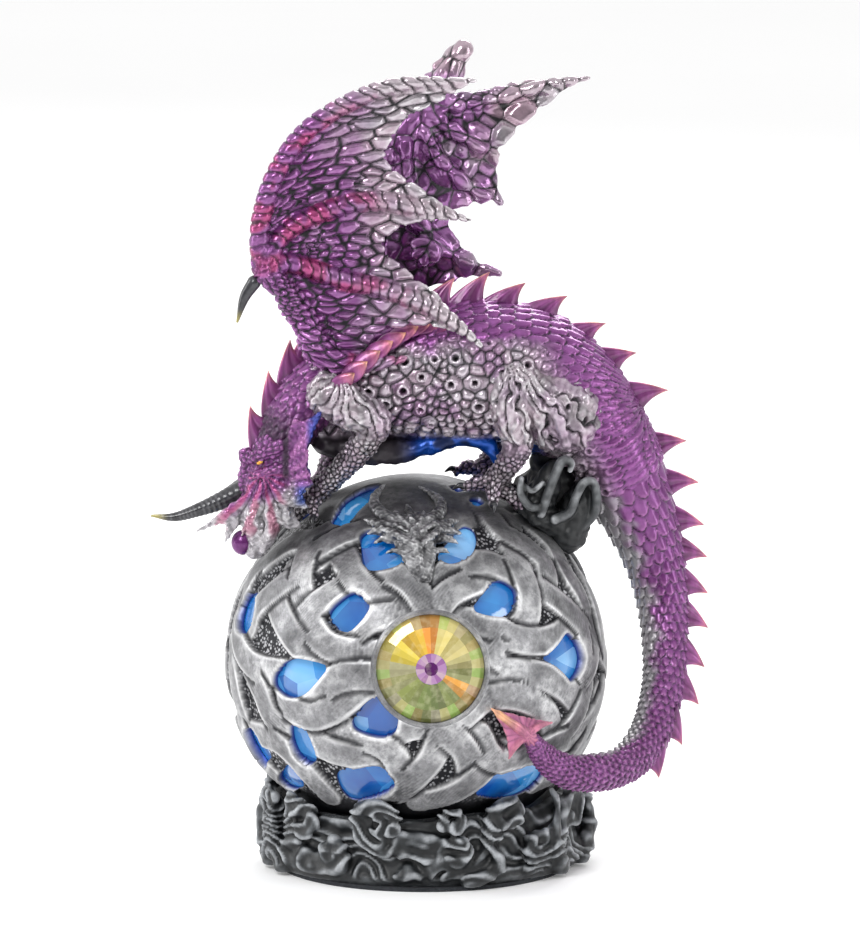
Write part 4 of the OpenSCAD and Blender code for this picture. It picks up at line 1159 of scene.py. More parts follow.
def make_head():
    skull = [[-33, -6, 113.5, 6.2], [-36, -7.6, 107, 6.6], [-37.8, -8.6, 100, 6.1],
             [-38.8, -9.2, 93, 5.3], [-40.6, -9.8, 87, 4.2], [-41.6, -10, 84, 3]]
    parts = [tube(skull, 18, 7)]
    parts += [tube(r, 10, 6) for r in (
        [[-31, -12.5, 112, 1.6], [-36.5, -14, 110, 1.9], [-42.2, -12, 107.5, 1.6],
         [-43.6, -9, 106.5, 1.3]],
        [[-33, -13.5, 106.5, 1.3], [-37.5, -14.6, 104.5, 1.4], [-41.5, -13, 103, 1.1]],
        [[-38.5, -14.4, 103, 0.9], [-40.3, -14.2, 99, 0.9], [-41.6, -13.3, 95, 0.7]],
        [[-36.5, -14.8, 102.5, 0.9], [-37.8, -14.8, 98, 0.9], [-39.5, -14.2, 94, 0.7]],
        [[-34.5, -14.4, 101.5, 0.9], [-35.4, -14.6, 97, 0.9], [-37.2, -14.4, 93, 0.7]],
        [[-43.5, -8, 105, 1.6], [-44.3, -7, 101, 1.5], [-43.6, -6.5, 97.5, 1.6]],
        [[-36, -13.5, 99, 2.8], [-32, -15.2, 97.3, 2.2], [-28.3, -15.8, 95, 0.3]],
        [[-35, -13.5, 94, 2.6], [-33, -14.2, 91.5, 2], [-30.5, -14.8, 90.5, 0.5]],
        [[-42.5, -12, 95, 2.0], [-42, -12.5, 90.5, 2.2], [-41.5, -12.2, 86, 1.6]],
        [[-38, -13.4, 92.5, 2.2], [-38.4, -13.6, 88, 2.0], [-39.6, -12.8, 84, 1.2]],
        [[-35.5, -2, 108, 1.4], [-40, -2.5, 106, 1.5], [-43, -4.5, 104, 1.2]])]
    parts.append(ball((-43.8, -9.5, 107.6), (1.9, 1.9, 2.2)))
    parts += fan((-41, -12.6, 99), [(-56.2, -9.5, 88.3), (-49.4, -11, 85.4), (-45, -12, 87.5)], 0.3)
    parts += fan((-37, -13, 101), [(-32, -15.5, 118), (-25.6, -17.2, 119.4), (-28.6, -17.6, 111),
                                   (-27.8, -17.6, 101.5), (-30.5, -16.8, 97.5)], 0.06, 1.6)
    parts += fan((-36, -2, 103), [(-27, 1.5, 117), (-29, 3.5, 109), (-31, 3.5, 101)], 0.15, 1.3)
    skin = Skin(parts, 0.32, 2)
    skin.raise_by(0.26 * waves(skin.v, 2.4, 51, 2) + 0.1 * waves(skin.v, 1.3, 54, 1))
    x, y, z = skin.v.T
    rel = skin.v - np.array([-40, -13, 103.5])
    turn = np.arctan2(rel[:, 0], -rel[:, 2])
    near = smoothstep(-9, -11.5, y)
    strands = near * smoothstep(-33, -36, x) * smoothstep(86, 90, z) * smoothstep(106, 102, z)
    ridge = np.abs(np.sin(turn * 7 + 0.5 * waves(skin.v, 4, 55, 1)))
    skin.raise_by(0.42 * strands * (ridge - 0.5))
    fringe = near * smoothstep(-34, -32, x) * smoothstep(98, 101, z)
    jaw = smoothstep(98, 94, z)
    cobbles(skin, 1.1, 0.34, 52, amount=(1 - strands) * 0.7 * (1 - 0.75 * jaw) * (1 - 0.5 * fringe),
            groove=0.16, round_off=0.5)
    fan_turn = np.arctan2(skin.v[:, 2] - 100, skin.v[:, 0] + 38)
    fold = np.abs(np.sin(fan_turn * 11 + 0.5 * waves(skin.v, 5, 57, 1)))
    skin.raise_by(0.35 * fringe * (fold - 0.5))
    skin.paint["cell"] = np.maximum(skin.paint["cell"], fringe)
    skin.relief(4, 3.2)
    skin.add("wash_and_shade", strands * smoothstep(0.35, 0.05, ridge) * 0.8)
    low = z - 0.30 * (x + 40) + 1.5 * waves(skin.v, 7, 53)
    skin.paint["tint"] = smoothstep(94.5, 99, low)
    # painted shadow at the back of the lower jaw
    skin.add("wash_and_shade", 0.2 * smoothstep(-37, -32, x) * smoothstep(99, 92, z))
    # painted shade: a dark line where the frill's edge stands off the neck
    skin.add("wash_and_shade", 0.85 * near * smoothstep(-35.6, -34.4, x) * smoothstep(-32.6, -33.8, x)
             * smoothstep(100, 104, z))
    skin.add("peak", fringe * smoothstep(0.6, 1.0, fold) * 0.8)
    # painted highlight: brighter patches on the silver jaw
    skin.add("peak", jaw * 0.45 * smoothstep(0.0, 0.6, waves(skin.v, 5, 58, 1)))
    skin.paint["pink"] = 0.62 * strands * smoothstep(0.72, 0.97, ridge)
    # painted light: the orb's blue glow on the near side, along the frill's back edge and on the
    # cheek
    edge = smoothstep(-29.6, -27.6, x) * smoothstep(0.0, 0.5, waves(skin.v, 9, 56) + 0.4)
    skin.paint["blue"] = near * np.maximum(edge, smoothstep(-33, -30, x)
                                           * smoothstep(103, 99, z) * smoothstep(95, 97, z)) * 0.85
    skin.piece("dragon_head_cast", purple_paint, "purple_resin", ("dragon_head",))
    pearl = Skin([ball((-44.7, -9.6, 85.3), (2.9, 2.9, 3.2), sides=28)])
    pearl.paint["tint"] = np.ones(len(pearl.v))
    pearl.piece("chin_pearl", purple_paint, "purple_resin")
    lean = np.array([[0.80, 0, -0.6], [0, 1, 0], [0.6, 0, 0.80]])
    eye = Skin([ball((-39.0, -13.6, 109.0), (2.0, 1.2, 0.8), lean, 20),
                ball((-40.5, -13.4, 106.6), (1.0, 0.8, 0.6), lean, 14)])
    eye.piece("dragon_eye", plain_material("eye_paint", (0.75, 0.30, 0.02), (0.95, 0.62, 0.08),
                                           0.3, (0.1, 0.25), 700, 0.05, 0.8), "pink_resin")


def make_horn(name, nodes, rows):
    skin = Skin([tube(rows, 20, 14)])
    place, _, radius = along_line(skin.v, rows)
    ridges = 0.5 + 0.5 * np.sin(place * 9)
    skin.raise_by(0.10 * ridges * np.clip(radius, 0, 2))
    skin.paint["peak"] = smoothstep(0.75, 1, ridges) * 0.6
    skin.paint["tip"] = smoothstep(place.max() * 0.72, place.max() * 0.95, place)
    skin.piece(name, horn_paint, "horn_resin", nodes)


def make_horns():
    make_horn("horn_right_cast", ("horn_right",),
              [[-42, -5, 99, 2.8], [-49, -4.5, 95.5, 2.3], [-55, -4, 93, 1.7],
               [-61.5, -3.5, 91, 1.1], [-67.3, -3, 91.3, 0.3]])
    make_horn("horn_left_cast", ("horn_left",),
              [[-41, 1, 99.5, 2.6], [-48, 6, 94, 2.1], [-54, 7.5, 91.2, 1.6],
               [-60.6, 8, 89, 1.0], [-64.5, 8.5, 89, 0.3]])


# ---------------------------------------------------------------- orb

def cube_sphere(n):
    """Points (unit) and square faces of a sphere made from six grids."""
    ticks = np.tan(np.linspace(-math.pi / 4, math.pi / 4, n + 1))
    a, b = np.meshgrid(ticks, ticks, indexing="ij")
    one = np.ones_like(a)
    sheets = [(one, a, b), (-one, b, a), (b, one, a), (a, -one, b), (a, b, one), (b, a, -one)]
    points, faces = [], []
    grid = np.arange((n + 1) ** 2).reshape(n + 1, n + 1)
    for k, sheet in enumerate(sheets):
        points.append(np.stack(sheet, -1).reshape(-1, 3))
        ids = grid + k * (n + 1) ** 2
        faces.append(np.stack([ids[:-1, :-1], ids[1:, :-1], ids[1:, 1:], ids[:-1, 1:]], -1)
                     .reshape(-1, 4))
    points = unit(np.vstack(points))
    faces = np.vstack(faces)
    _, first, back = np.unique(np.round(points, 5), axis=0, return_index=True,
                               return_inverse=True)
    points, faces = points[first], back.reshape(-1)[faces]
    p = points[faces]
    inward = (np.cross(p[:, 2] - p[:, 0], p[:, 3] - p[:, 1]) * p[:, 0]).sum(1) < 0
    faces[inward] = faces[inward][:, ::-1]
    return points, faces


def polygon_distance(points, corners):
    """Signed distance in the plane (negative inside) and the nearest border point."""
    best = np.full(len(points), 1e9)
    near = np.zeros_like(points)
    inside = np.zeros(len(points), bool)
    for p, q in zip(corners, np.roll(corners, -1, axis=0)):
        edge = q - p
        t = np.clip(((points - p) @ edge) / (edge @ edge), 0, 1)
        spot = p + t[:, None] * edge
        d = np.linalg.norm(points - spot, axis=1)
        closer = d < best
        best = np.where(closer, d, best)
        near[closer] = spot[closer]
        crosses = (p[1] > points[:, 1]) != (q[1] > points[:, 1])
        with np.errstate(divide="ignore", invalid="ignore"):
            at = p[0] + (points[:, 1] - p[1]) / (q[1] - p[1]) * (q[0] - p[0])
        inside ^= crosses & (points[:, 0] < at)
    return np.where(inside, -best, best), near


def rounded(corners, steps=5):
    """A closed outline smoothed by cutting its corners."""
    for _ in range(steps - 3):
        nxt = np.roll(corners, -1, axis=0)
        corners = np.stack([corners * 0.78 + nxt * 0.22, corners * 0.22 + nxt * 0.78], 1)
        corners = corners.reshape(-1, corners.shape[-1])
    return corners


def strap_heights(dirs, straps, turn, state, width=3.95):
    """Lays straps over every direction. state holds, for each direction, the height so far,
    the place across the strap on top, and how close it is to the edge of a higher strap."""
    for rows in straps:
        flat = [[*on_sphere(lon + turn, lat), 1] for lon, lat in rows]
        path = unit(catmull(flat, 9)[:, :3])
        ends = unit(np.vstack([path[0] * 2.6 - path[1] * 1.6, path,
                               path[-1] * 2.6 - path[-2] * 1.6]))
        centre = unit(ends.mean(0))
        spread = math.acos(max(-1, (ends @ centre).min())) + 0.13
        idx = np.nonzero(dirs @ centre > math.cos(min(spread, 3.1)))[0]
        if not len(idx):
            continue
        d = dirs[idx] @ ends.T
        near = d.argmax(1)
        dist = np.arccos(np.clip(d.max(1), -1, 1)) * ORB_R
        along = near / (len(ends) - 1)
        level = np.sin(math.pi * np.clip(along, 0.03, 0.97)) ** 0.6
        edge = smoothstep(width + 0.3, width - 0.35, dist)
        height = edge * (0.65 + 1.35 * level * (1 - 0.10 * (dist / width) ** 2))
        skirt = smoothstep(width + 1.7, width + 0.1, dist) * smoothstep(0.1, 0.5, level)
        higher = height > state["height"][idx]
        pick, rest = idx[higher], idx[~higher]
        state["shade"][pick] = np.where(state["level"][pick] > level[higher] + 0.02,
                                        state["shade"][pick], 0)
        state["height"][pick] = height[higher]
        state["level"][pick] = level[higher]
        state["edge"][pick] = (width - dist)[higher]
        above = level[~higher] > state["level"][rest] + 0.02
        outside = dist[~higher] > width - 0.2
        shade = np.where(above & outside, skirt[~higher], 0)
        state["shade"][rest] = np.maximum(state["shade"][rest], shade)


def make_cage():
    dirs, faces = cube_sphere(128)
    size = len(dirs)
    state = {"height": np.zeros(size), "level": np.zeros(size), "edge": np.full(size, -1.0),
             "shade": np.zeros(size)}
    front = dirs[:, 1] < 0.06
    sides = [(front, [(STRAPS, 0)]), (~front, [(STRAPS, 180), (BACK_STRAPS, 180)])]
    for mask, lots in sides:
        part = {key: values[mask] for key, values in state.items()}
        for straps, turn in lots + lots:
            strap_heights(dirs[mask], straps, turn, part)
        for key in state:
            state[key][mask] = part[key]
    heights = state["height"]
    dome = smoothstep(0.80, 0.87, dirs[:, 2]) * (dirs[:, 1] < 0.3)
    heights = np.maximum(heights, dome * 1.0)
    pit = smoothstep(0.3, 0.1, heights)
    line = smoothstep(0.75, 0.05, np.abs(state["edge"])) * (1 - dome)
    radius = ORB_R - 1.75 + heights - 0.22 * state["shade"] * (1 - pit)
    skin_v = dirs.copy()
    keep = np.ones(len(faces), bool)
    for corners, turn in [(w, 0) for w in WINDOWS] + [(w, 180) for w in WINDOWS]:
        spots = np.array([on_sphere(lon + turn, lat) for lon, lat in corners])
        centre = unit(spots.mean(0))
        right = unit(np.cross(UP, centre))
        over = np.cross(centre, right)
        close = np.nonzero(skin_v @ centre > 0.9)[0]
        plane = np.stack([right, over], 1)
        flat = skin_v[close] @ plane / (skin_v[close] @ centre)[:, None] * ORB_R
        outline = rounded(spots @ plane / (spots @ centre)[:, None] * ORB_R, 5) * 1.1
        dist, near = polygon_distance(flat, outline)
        snap = np.abs(dist) < 0.36
        flat[snap] = near[snap]
        dist[snap] = 0
        skin_v[close] = unit(centre + (flat / ORB_R) @ plane.T)
        inside = np.zeros(len(dirs), bool)
        inside[close[dist < 0.01]] = True
        keep &= ~inside[faces].all(1)
    points = skin_v * radius[:, None] + ORB
    gem_axis = skin_v @ GEM_AXIS
    seat = np.arccos(np.clip(gem_axis, -1, 1)) * ORB_R < GEM_R + 1.2
    keep &= ~seat[faces].all(1)
    keep &= points[faces][:, :, 2].min(1) > RIM_Z - 0.3
    faces = faces[keep]
    used = np.unique(faces)
    table = np.full(len(points), -1)
    table[used] = np.arange(len(used))
    faces = table[faces]
    points, out = points[used], skin_v[used]
    pit, line, shade = pit[used], line[used], state["shade"][used]
    low = smoothstep(-0.57, -0.66, out[:, 2])
    # painted shade, with a little dirt: darker on top under the dragon, towards the bottom and at the
    # far sides, and darkest in the pits of the low band where the straps stop
    shade_and_dirt = 0.62 * smoothstep(0.42, 0.8, out[:, 2]) + 0.25 * smoothstep(-0.1, -0.7, out[:, 2])
    shade_and_dirt = shade_and_dirt + 0.22 * smoothstep(0.6, 0.95, np.abs(out[:, 0])) + 0.9 * low * (pit > 0.5)
    pit = pit * (1 - low)
    pairs = np.concatenate([faces[:, [i, (i + 1) % 4]] for i in range(4)])
    key = np.sort(pairs, 1)
    _, where, count = np.unique(key, axis=0, return_index=True, return_counts=True)
    rim = pairs[where[count == 1]]
    rim_ids = np.unique(rim)
    inner = np.full(len(points), -1)
    inner[rim_ids] = len(points) + np.arange(len(rim_ids))
    inner_points = ORB + out[rim_ids] * (GLOBE_R + 0.1)
    walls = np.stack([rim[:, 1], rim[:, 0], inner[rim[:, 0]], inner[rim[:, 1]]], 1)
    skin = Skin.__new__(Skin)
    skin.v = np.vstack([points, inner_points])
    skin.f = np.vstack([faces, walls])
    skin.paint = {}
    skin.edges()
    skin.normals()
    count = len(points)
    rim_flag = np.zeros(len(skin.v))
    rim_flag[rim_ids] = 1
    step = ((skin.spread(skin.v, 3) - skin.v) * skin.n).sum(1) * 3.2
    step[count:] = 0
    step = np.where(rim_flag > 0, 0, step)
    wash_and_shade = np.zeros(len(skin.v))
    # dark paint here: painted shade with a little dirt, painted shadow beside higher straps, and dark
    # strap edges
    wash_and_shade[:count] = np.maximum(np.clip(shade_and_dirt + 0.8 * shade, 0, 0.95), line * 0.75)
    skin.add("wash_and_shade", wash_and_shade)
    skin.add("wash_and_shade", np.clip(step, 0, 1))
    skin.add("peak", np.maximum(np.clip(-step * 0.9, 0, 1), rim_flag * 0.5))
    for key, values in (("pit", pit), ("glass", np.zeros(count))):
        skin.paint[key] = np.concatenate([values, np.full(len(skin.v) - count, key == "glass")])
    skin.piece("woven_cage", strap_paint, "silver_resin", ("orb_cage",))


def gem_colour(angle, radius, number):
    """The facet's colour: the coating's colours, warm above, olive below, violet in the middle, made
    brighter or darker facet by facet as painted reflections.
    """
    if radius < 0.13:
        return (0.10, 0.02, 0.12)
    if radius < 0.30:
        return ((0.46, 0.26, 0.48), (0.34, 0.15, 0.36), (0.55, 0.38, 0.50))[number % 3]
    warm = ((18, (0.42, 0.38, 0.17)), (50, (0.68, 0.58, 0.24)), (74, (0.72, 0.60, 0.20)),
            (106, (0.74, 0.28, 0.05)), (130, (0.76, 0.48, 0.06)), (165, (0.74, 0.58, 0.09)),
            (188, (0.36, 0.34, 0.20)), (215, (0.27, 0.27, 0.09)), (245, (0.17, 0.20, 0.035)),
            (285, (0.11, 0.15, 0.025)), (315, (0.14, 0.17, 0.035)), (332, (0.55, 0.24, 0.02)),
            (361, (0.24, 0.25, 0.10)))
    turn = math.degrees(angle) % 360
    base = next(colour for limit, colour in warm if turn < limit)
    if radius > 0.8:
        ring = [(0.22, 0.15, 0.04), (0.45, 0.40, 0.16), (0.10, 0.10, 0.03), (0.26, 0.42, 0.08),
                (0.25, 0.21, 0.17)]
        extra = ring[(number * 7) % 5]
        return tuple(0.35 * b + 0.65 * e for b, e in zip(base, extra))
    # painted reflections: neighbouring facets alternately brighter and darker
    shade = 0.62 + 0.6 * ((number * 5) % 7) / 7
    return tuple(shade * b for b in base)


def make_gem():
    """A round brilliant seen from the front: centre, long fan facets and a cut rim."""
    right = np.array([1.0, 0, 0])
    up = unit(np.cross(right, GEM_AXIS)) * (1 if np.cross(right, GEM_AXIS)[2] > 0 else -1)
    rings = [(0.0, 4.2, 1), (1.7, 4.2, 16), (3.9, 4.1, 16), (10.4, 2.4, 32), (12.6, 1.4, 32),
             (GEM_R, 0.8, 32), (GEM_R, 0.0, 32)]
    verts, faces, colours = [], [], []

    def spot(radius, angle, height):
        return (ORB + GEM_AXIS * (GEM_GIRDLE + height) + right * radius * math.cos(angle)
                + up * radius * math.sin(angle))

    def add(points, angle, radius, number):
        start = len(verts)
        verts.extend(points)
        faces.append(tuple(range(start, start + len(points))))
        colours.extend([gem_colour(angle, radius, number)] * len(points))

    for (r0, h0, n0), (r1, h1, n1) in zip(rings, rings[1:]):
        count = max(n0, n1)
        for i in range(count):
            a, b = 2 * math.pi * i / count, 2 * math.pi * (i + 1) / count
            mid = (a + b) / 2
            half = (r0 + r1) / 2 / GEM_R
            pts = [spot(r1, a, h1), spot(r1, b, h1)]
            pts += [spot(r0, b, h0), spot(r0, a, h0)] if r0 > 0 else [spot(0, 0, h0)]
            add(pts, mid, half, i + (3 if count == 32 else 0))
    skin = Skin.__new__(Skin)
    skin.v, skin.f, skin.paint = np.array(verts), faces, {"facet": np.array(colours)}
    skin.piece("cut_gem", gem_paint, "coated_crystal", ("crystal_gem",), flat=True)


def make_emblem():
    """A small horned mask of the builder's own design, laid over the top of the orb."""
    lon = -2

    def at(x, lat, rise):
        turn = math.degrees((x - 0.11 * (lat - 36)) / (ORB_R * math.cos(math.radians(lat))))
        return ORB + on_sphere(lon + turn, lat, ORB_R + rise)

    def line(rows, flat=1.0):
        return tube([[*at(x, lat, rise), r] for x, lat, rise, r in rows], 12, 6, flat,
                    side=(1, 0, 0))

    parts = [line([(0.5, 35.5, 0.2, 0.9), (0.2, 40, 0.4, 1.7), (0, 46, 0.2, 2.3),
                   (0, 52, -0.6, 2.9), (0, 58, -1.6, 3.2)], 2.1),
             line([(0.4, 36, 0.9, 0.7), (0.1, 41, 1.9, 0.9), (0, 46.5, 2.5, 1.1),
                   (0, 52, 2.3, 1.0)])]
    for s in (-1, 1):
        parts += [
            line([(s * 4.6, 57, 0.2, 1.8), (s * 7.8, 61, 0.3, 1.6), (s * 8.6, 66, 0.2, 1.3),
                  (s * 7.0, 71, 0.2, 0.8), (s * 4.6, 75.5, 0.2, 0.3)]),
            line([(s * 0.9, 45.5, 2.5, 0.8), (s * 3.6, 48.6, 2.4, 1.0), (s * 7.6, 53, 1.0, 0.9)]),
            line([(s * 1.6, 50.5, 2.4, 0.6), (s * 4.6, 53.5, 1.7, 0.7), (s * 7.4, 57, 0.6, 0.5)]),
            line([(s * 1.2, 53.5, 1.9, 0.6), (s * 2.8, 57, 1.4, 0.7), (s * 3.6, 60.5, 0.4, 0.5)]),
            line([(s * 5.5, 54, 0.4, 1.7), (s * 9.0, 55.4, 0.3, 1.3), (s * 12.2, 56.8, 0.2, 0.3)]),
            line([(s * 6.5, 52.5, 0.3, 1.3), (s * 9.4, 52.6, 0.2, 1.1), (s * 12.0, 51.4, 0.1, 0.3)]),
            line([(s * 5.8, 49.6, 0.3, 1.2), (s * 8.4, 49.6, 0.2, 0.9), (s * 10.6, 47.8, 0.1, 0.3)]),
            line([(s * 3.6, 44.6, 0.7, 1.0), (s * 5.8, 45.4, 0.4, 0.8), (s * 8.0, 44.6, 0.1, 0.3)]),
            line([(s * 1.2, 37.6, 0.9, 0.6), (s * 2.6, 40, 0.9, 0.7), (s * 3.6, 43.4, 1.1, 0.7)])]
        parts.append(ball(at(s * 3.5, 46.6, 1.5), (1.0, 0.9, 0.8), sides=10))
    parts.append(line([(0, 56, 1.5, 1.0), (0, 60.5, 0.8, 1.0), (0, 64.5, 0.2, 0.3)]))
    skin = Skin(parts, 0.27, 1)
    skin.raise_by(0.16 * waves(skin.v, 1.7, 81, 2))
    skin.relief(4, 3.6)
    skin.add("wash_and_shade", 0.62 + 0.3 * waves(skin.v, 6, 82))
    skin.paint["wash_and_shade"] = skin.paint["wash_and_shade"] * (1 - 0.95 * skin.paint["peak"])
    skin.piece("emblem_cast", strap_paint, "silver_resin", ("dragon_emblem",))


# ---------------------------------------------------------------- plinth and perch

def wave_strands(rim, place, level, size, hand, over, width, thick=1.7):
    """A wave of rock: nested strands that flow up from the foot and roll into a curl. over
    waves rise first and fall forward; the others run under and turn up."""
    parts = []
    for k in range(3):
        part = size * (1 - 0.3 * k)
        rows = []
        for t in np.linspace(0, 1, 30):
            s = (t - 0.4) / 0.6
            if over and s < 0:
                w = -s / 0.667
                u = -hand * (part + size * 2.6 * w ** 2.2)
                v = level - (level - 2.5) * (1 - (1 - w) ** 1.7) + 1.2 * k * w
            elif over:
                roll = s * 2 * math.pi * (0.95 - 0.12 * k)
                spin = part * (1 - 0.55 * s)
                u, v = -hand * spin * math.cos(roll), level + spin * math.sin(roll)
            elif s < 0:
                w = -s / 0.667
                u = -hand * size * 3.6 * w
                v = level - part - (level - size - 2.5) * w ** 1.5 + 0.6 * k * w
            else:
                roll = s * 2 * math.pi * (1.15 - 0.15 * k)
                spin = part * (1 - 0.6 * s)
                u, v = hand * spin * math.sin(roll), level - spin * math.cos(roll)
            rise = 1.3 * max(s, 0) - 0.5 * k
            rows.append([*rim(place + u / width, 1.0 + rise / width, v),
                         thick * (0.62 + 0.38 * math.sin(math.pi * min(t * 1.1, 1)))])
        parts.append(tube(rows, 10, 2, side=(math.sin(place), -math.cos(place), 0)))
    return parts


def make_plinth():
    low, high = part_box("base_plinth")
    centre = np.array([(low.x + high.x) / 2, (low.y + high.y) / 2]) / MM
    rx, ry = (high.x - low.x) / 2 / MM - 3.4, (high.y - low.y) / 2 / MM - 3.4
    floor = low.z / MM

    def rim(a, scale, z):
        spot = np.array([centre[0] + rx * scale * math.sin(a), centre[1] - ry * scale * math.cos(a)])
        high = floor + z
        if high > RIM_Z + 1 and scale > 0.95:
            clear = math.sqrt((ORB_R + 0.9) ** 2 - (high - ORB[2]) ** 2)
            spot = spot * max(1, clear / np.linalg.norm(spot))
        return np.array([*spot, high])

    around = np.linspace(0, 2 * math.pi, 97)[:-1]
    rings = []
    for scale, z in ((0.5, 0), (0.985, 0), (1.0, 2.0), (0.97, 5), (0.955, 10), (0.96, 15),
                     (0.92, 18.5), (0.84, 20.5), (0.5, 18)):
        rings.append(np.array([rim(a, scale + 0.012 * math.sin(5 * a + 1) * (z > 3),
                                   z * (1 + 0.07 * math.sin(3 * a + 2) + 0.05 * math.sin(7 * a)))
                               for a in around]))
    parts = [loft(rings)]
    front = [(-0.36, 16.8, 7.0, -1, False), (0.47, 17.4, 4.6, 1, True), (-0.95, 14.5, 5.6, 1, True),
             (1.12, 15.5, 5.4, 1, True), (0.74, 8.6, 4.2, -1, False), (-0.70, 7.4, 4.0, 1, False),
             (0.12, 8.0, 4.2, 1, True)]
    back = [(1.65, 13, 5.4, 1, True), (2.15, 17, 4.2, -1, False), (2.7, 14, 5.6, 1, True),
            (3.25, 17, 4.4, 1, True), (3.8, 13, 5.4, -1, True), (4.3, 16.5, 4.6, 1, False),
            (4.85, 14.5, 5.2, -1, True), (1.9, 6.5, 3.4, 1, False), (3.0, 6.5, 3.4, -1, False),
            (4.1, 6.5, 3.4, 1, False)]
    for place, level, size, hand, over in front + back:
        parts += wave_strands(rim, place, level, size, hand, over, rx)
    for a, z in ((0.09, 17.2), (-1.0, 18.6), (2.4, 10.0), (3.55, 9.0)):
        ring = [[*rim(a + 2.3 * math.cos(k) / rx, 1.03, z + 2.3 * math.sin(k)), 1.35]
                for k in np.linspace(0, 2 * math.pi, 13)]
        parts.append(tube(ring, 9, 3, side=(math.sin(a), -math.cos(a), 0)))
    rng = np.random.default_rng(91)
    for a in (-1.45, -1.2, 0.95, 1.35, 1.85, 2.5, 3.1, 3.7, 4.2, 4.6, 0.22):
        lean = rng.choice([-1, 1]) * rng.uniform(0.1, 0.28)
        tall = rng.uniform(17, 21) if abs(a) > 0.3 else 11
        rows = [[*rim(a + lean * (t + 0.35 * math.sin(t * 5)), 1.0 + 0.05 * math.sin(t * 3.1),
                      1.5 + tall * t), 2.7 * (1 - 0.7 * t)] for t in np.linspace(0, 1, 7)]
        parts.append(tube(rows, 10, 5))
    skin = Skin(parts, 0.5, 2)
    side = smoothstep(floor + 0.6, floor + 3, skin.v[:, 2])
    flow = skin.v[:, 2] / 4.2 + 1.5 * waves(skin.v, 19, 93, 2)
    crest = (0.5 + 0.5 * np.cos(2 * math.pi * flow)) ** 1.6
    side = side * smoothstep(26, 21, skin.v[:, 2])
    skin.raise_by((0.9 * crest - 0.4 + 0.25 * waves(skin.v, 6, 92, 2)) * side)
    off = skin.v - ORB
    dist = np.linalg.norm(off, axis=1)
    push = (dist < ORB_R + 0.3) & (skin.v[:, 2] > RIM_Z + 1)
    skin.v[push] = ORB + off[push] / dist[push][:, None] * (ORB_R + 0.3)
    skin.v[:, 2] = np.maximum(skin.v[:, 2], floor)
    skin.normals()
    skin.relief(6, 2.8)
    # darker towards the bottom
    skin.add("wash_and_shade", 0.35 * smoothstep(floor + 6, floor + 1, skin.v[:, 2]))
    skin.paint["bright"] = smoothstep(0.4, 0.9, skin.paint["peak"]) * 0.4
    skin.piece("plinth_waves", rock_paint, "rock_resin", ("base_plinth",))


def make_perch():
    """A black rock under the haunch, wrapped in curls whose crests are painted bright: silver paint
    with painted highlights.
    """
    core = [
        [[29, -9, 92, 4.5], [32, -10, 98, 4], [34, -9, 103, 2.6]],
        [[38, -8, 86, 5], [40, -8, 92, 4.6], [42, -8, 97, 3]],
        [[34, 0, 90, 8], [35, 0, 97, 7], [34, 2, 103, 5]],
        [[30, 12, 94, 4.6], [34, 12.5, 99, 3.2], [36, 12, 105, 1.8], [33.5, 12.5, 107, 1.2]],
        [[39, 2, 87, 5.5], [42, 2, 93, 4], [43.5, 2, 98, 2.5]],
        [[30, -11, 91, 3.4], [37, -8, 88, 4], [39.5, 0, 86, 4.6], [37, 8, 88, 4],
         [30, 13, 91, 3.6]]]
    curls = [
        [[30.6, -14.5, 92.5, 1.5], [32.6, -15.2, 98.5, 1.5], [34.2, -15.6, 103, 1.5],
         [36, -15.4, 106.2, 1.5], [38.2, -14.8, 105.6, 1.2], [38, -14.6, 103.6, 0.9]],
        [[34.2, -13.8, 90.8, 1.6], [38, -13, 92.5, 1.5], [39.6, -13.2, 96.5, 1.4],
         [41.6, -13.2, 100, 1.4], [44, -12.4, 100, 1.4], [45, -11.6, 96, 1.5],
         [44.2, -11, 91.6, 1.6], [41, -11, 88, 1.6]],
        [[31, -14.6, 94, 1.3], [27.6, -15.2, 94.6, 1.3], [25.4, -15.2, 98, 1.2],
         [25.6, -14.8, 101.6, 0.9]],
        [[26, -14.4, 99.8, 0.9], [28.4, -15, 98.6, 1.0], [31, -15, 100.4, 0.8]],
        [[31, 14.5, 93, 1.5], [33, 15.4, 99, 1.5], [36, 15, 105, 1.4], [38.4, 14.4, 103.6, 0.9]],
        [[35, 13.4, 91, 1.6], [39.8, 13, 96.5, 1.4], [43.6, 12, 99.6, 1.4], [44.6, 11, 94, 1.5]]]
    slim = [[[*p[:3], p[3] * 0.85] for p in r] for r in curls]
    skin = Skin([tube(r, 12, 8) for r in core + slim], 0.36, 3)
    off = skin.v - ORB
    dist = np.linalg.norm(off, axis=1)
    push = dist < ORB_R + 0.1
    skin.v[push] = ORB + off[push] / dist[push][:, None] * (ORB_R + 0.1)
    skin.normals()
    on_curl = smoothstep(2.3, 1.6, finger_reach(skin.v, curls))
    skin.raise_by(0.3 * waves(skin.v, 4, 95, 2) * (1 - on_curl))
    skin.relief(6, 1.6)
    skin.add("wash_and_shade", 0.85 * (1 - on_curl))
    # the curls' crests: silver paint with painted highlights
    skin.paint["bright"] = on_curl * smoothstep(0.1, 0.45, skin.paint["peak"])
    skin.piece("rock_perch_cast", rock_paint, "rock_resin", ("rock_perch",))


# ---------------------------------------------------------------- scutes on the wing root

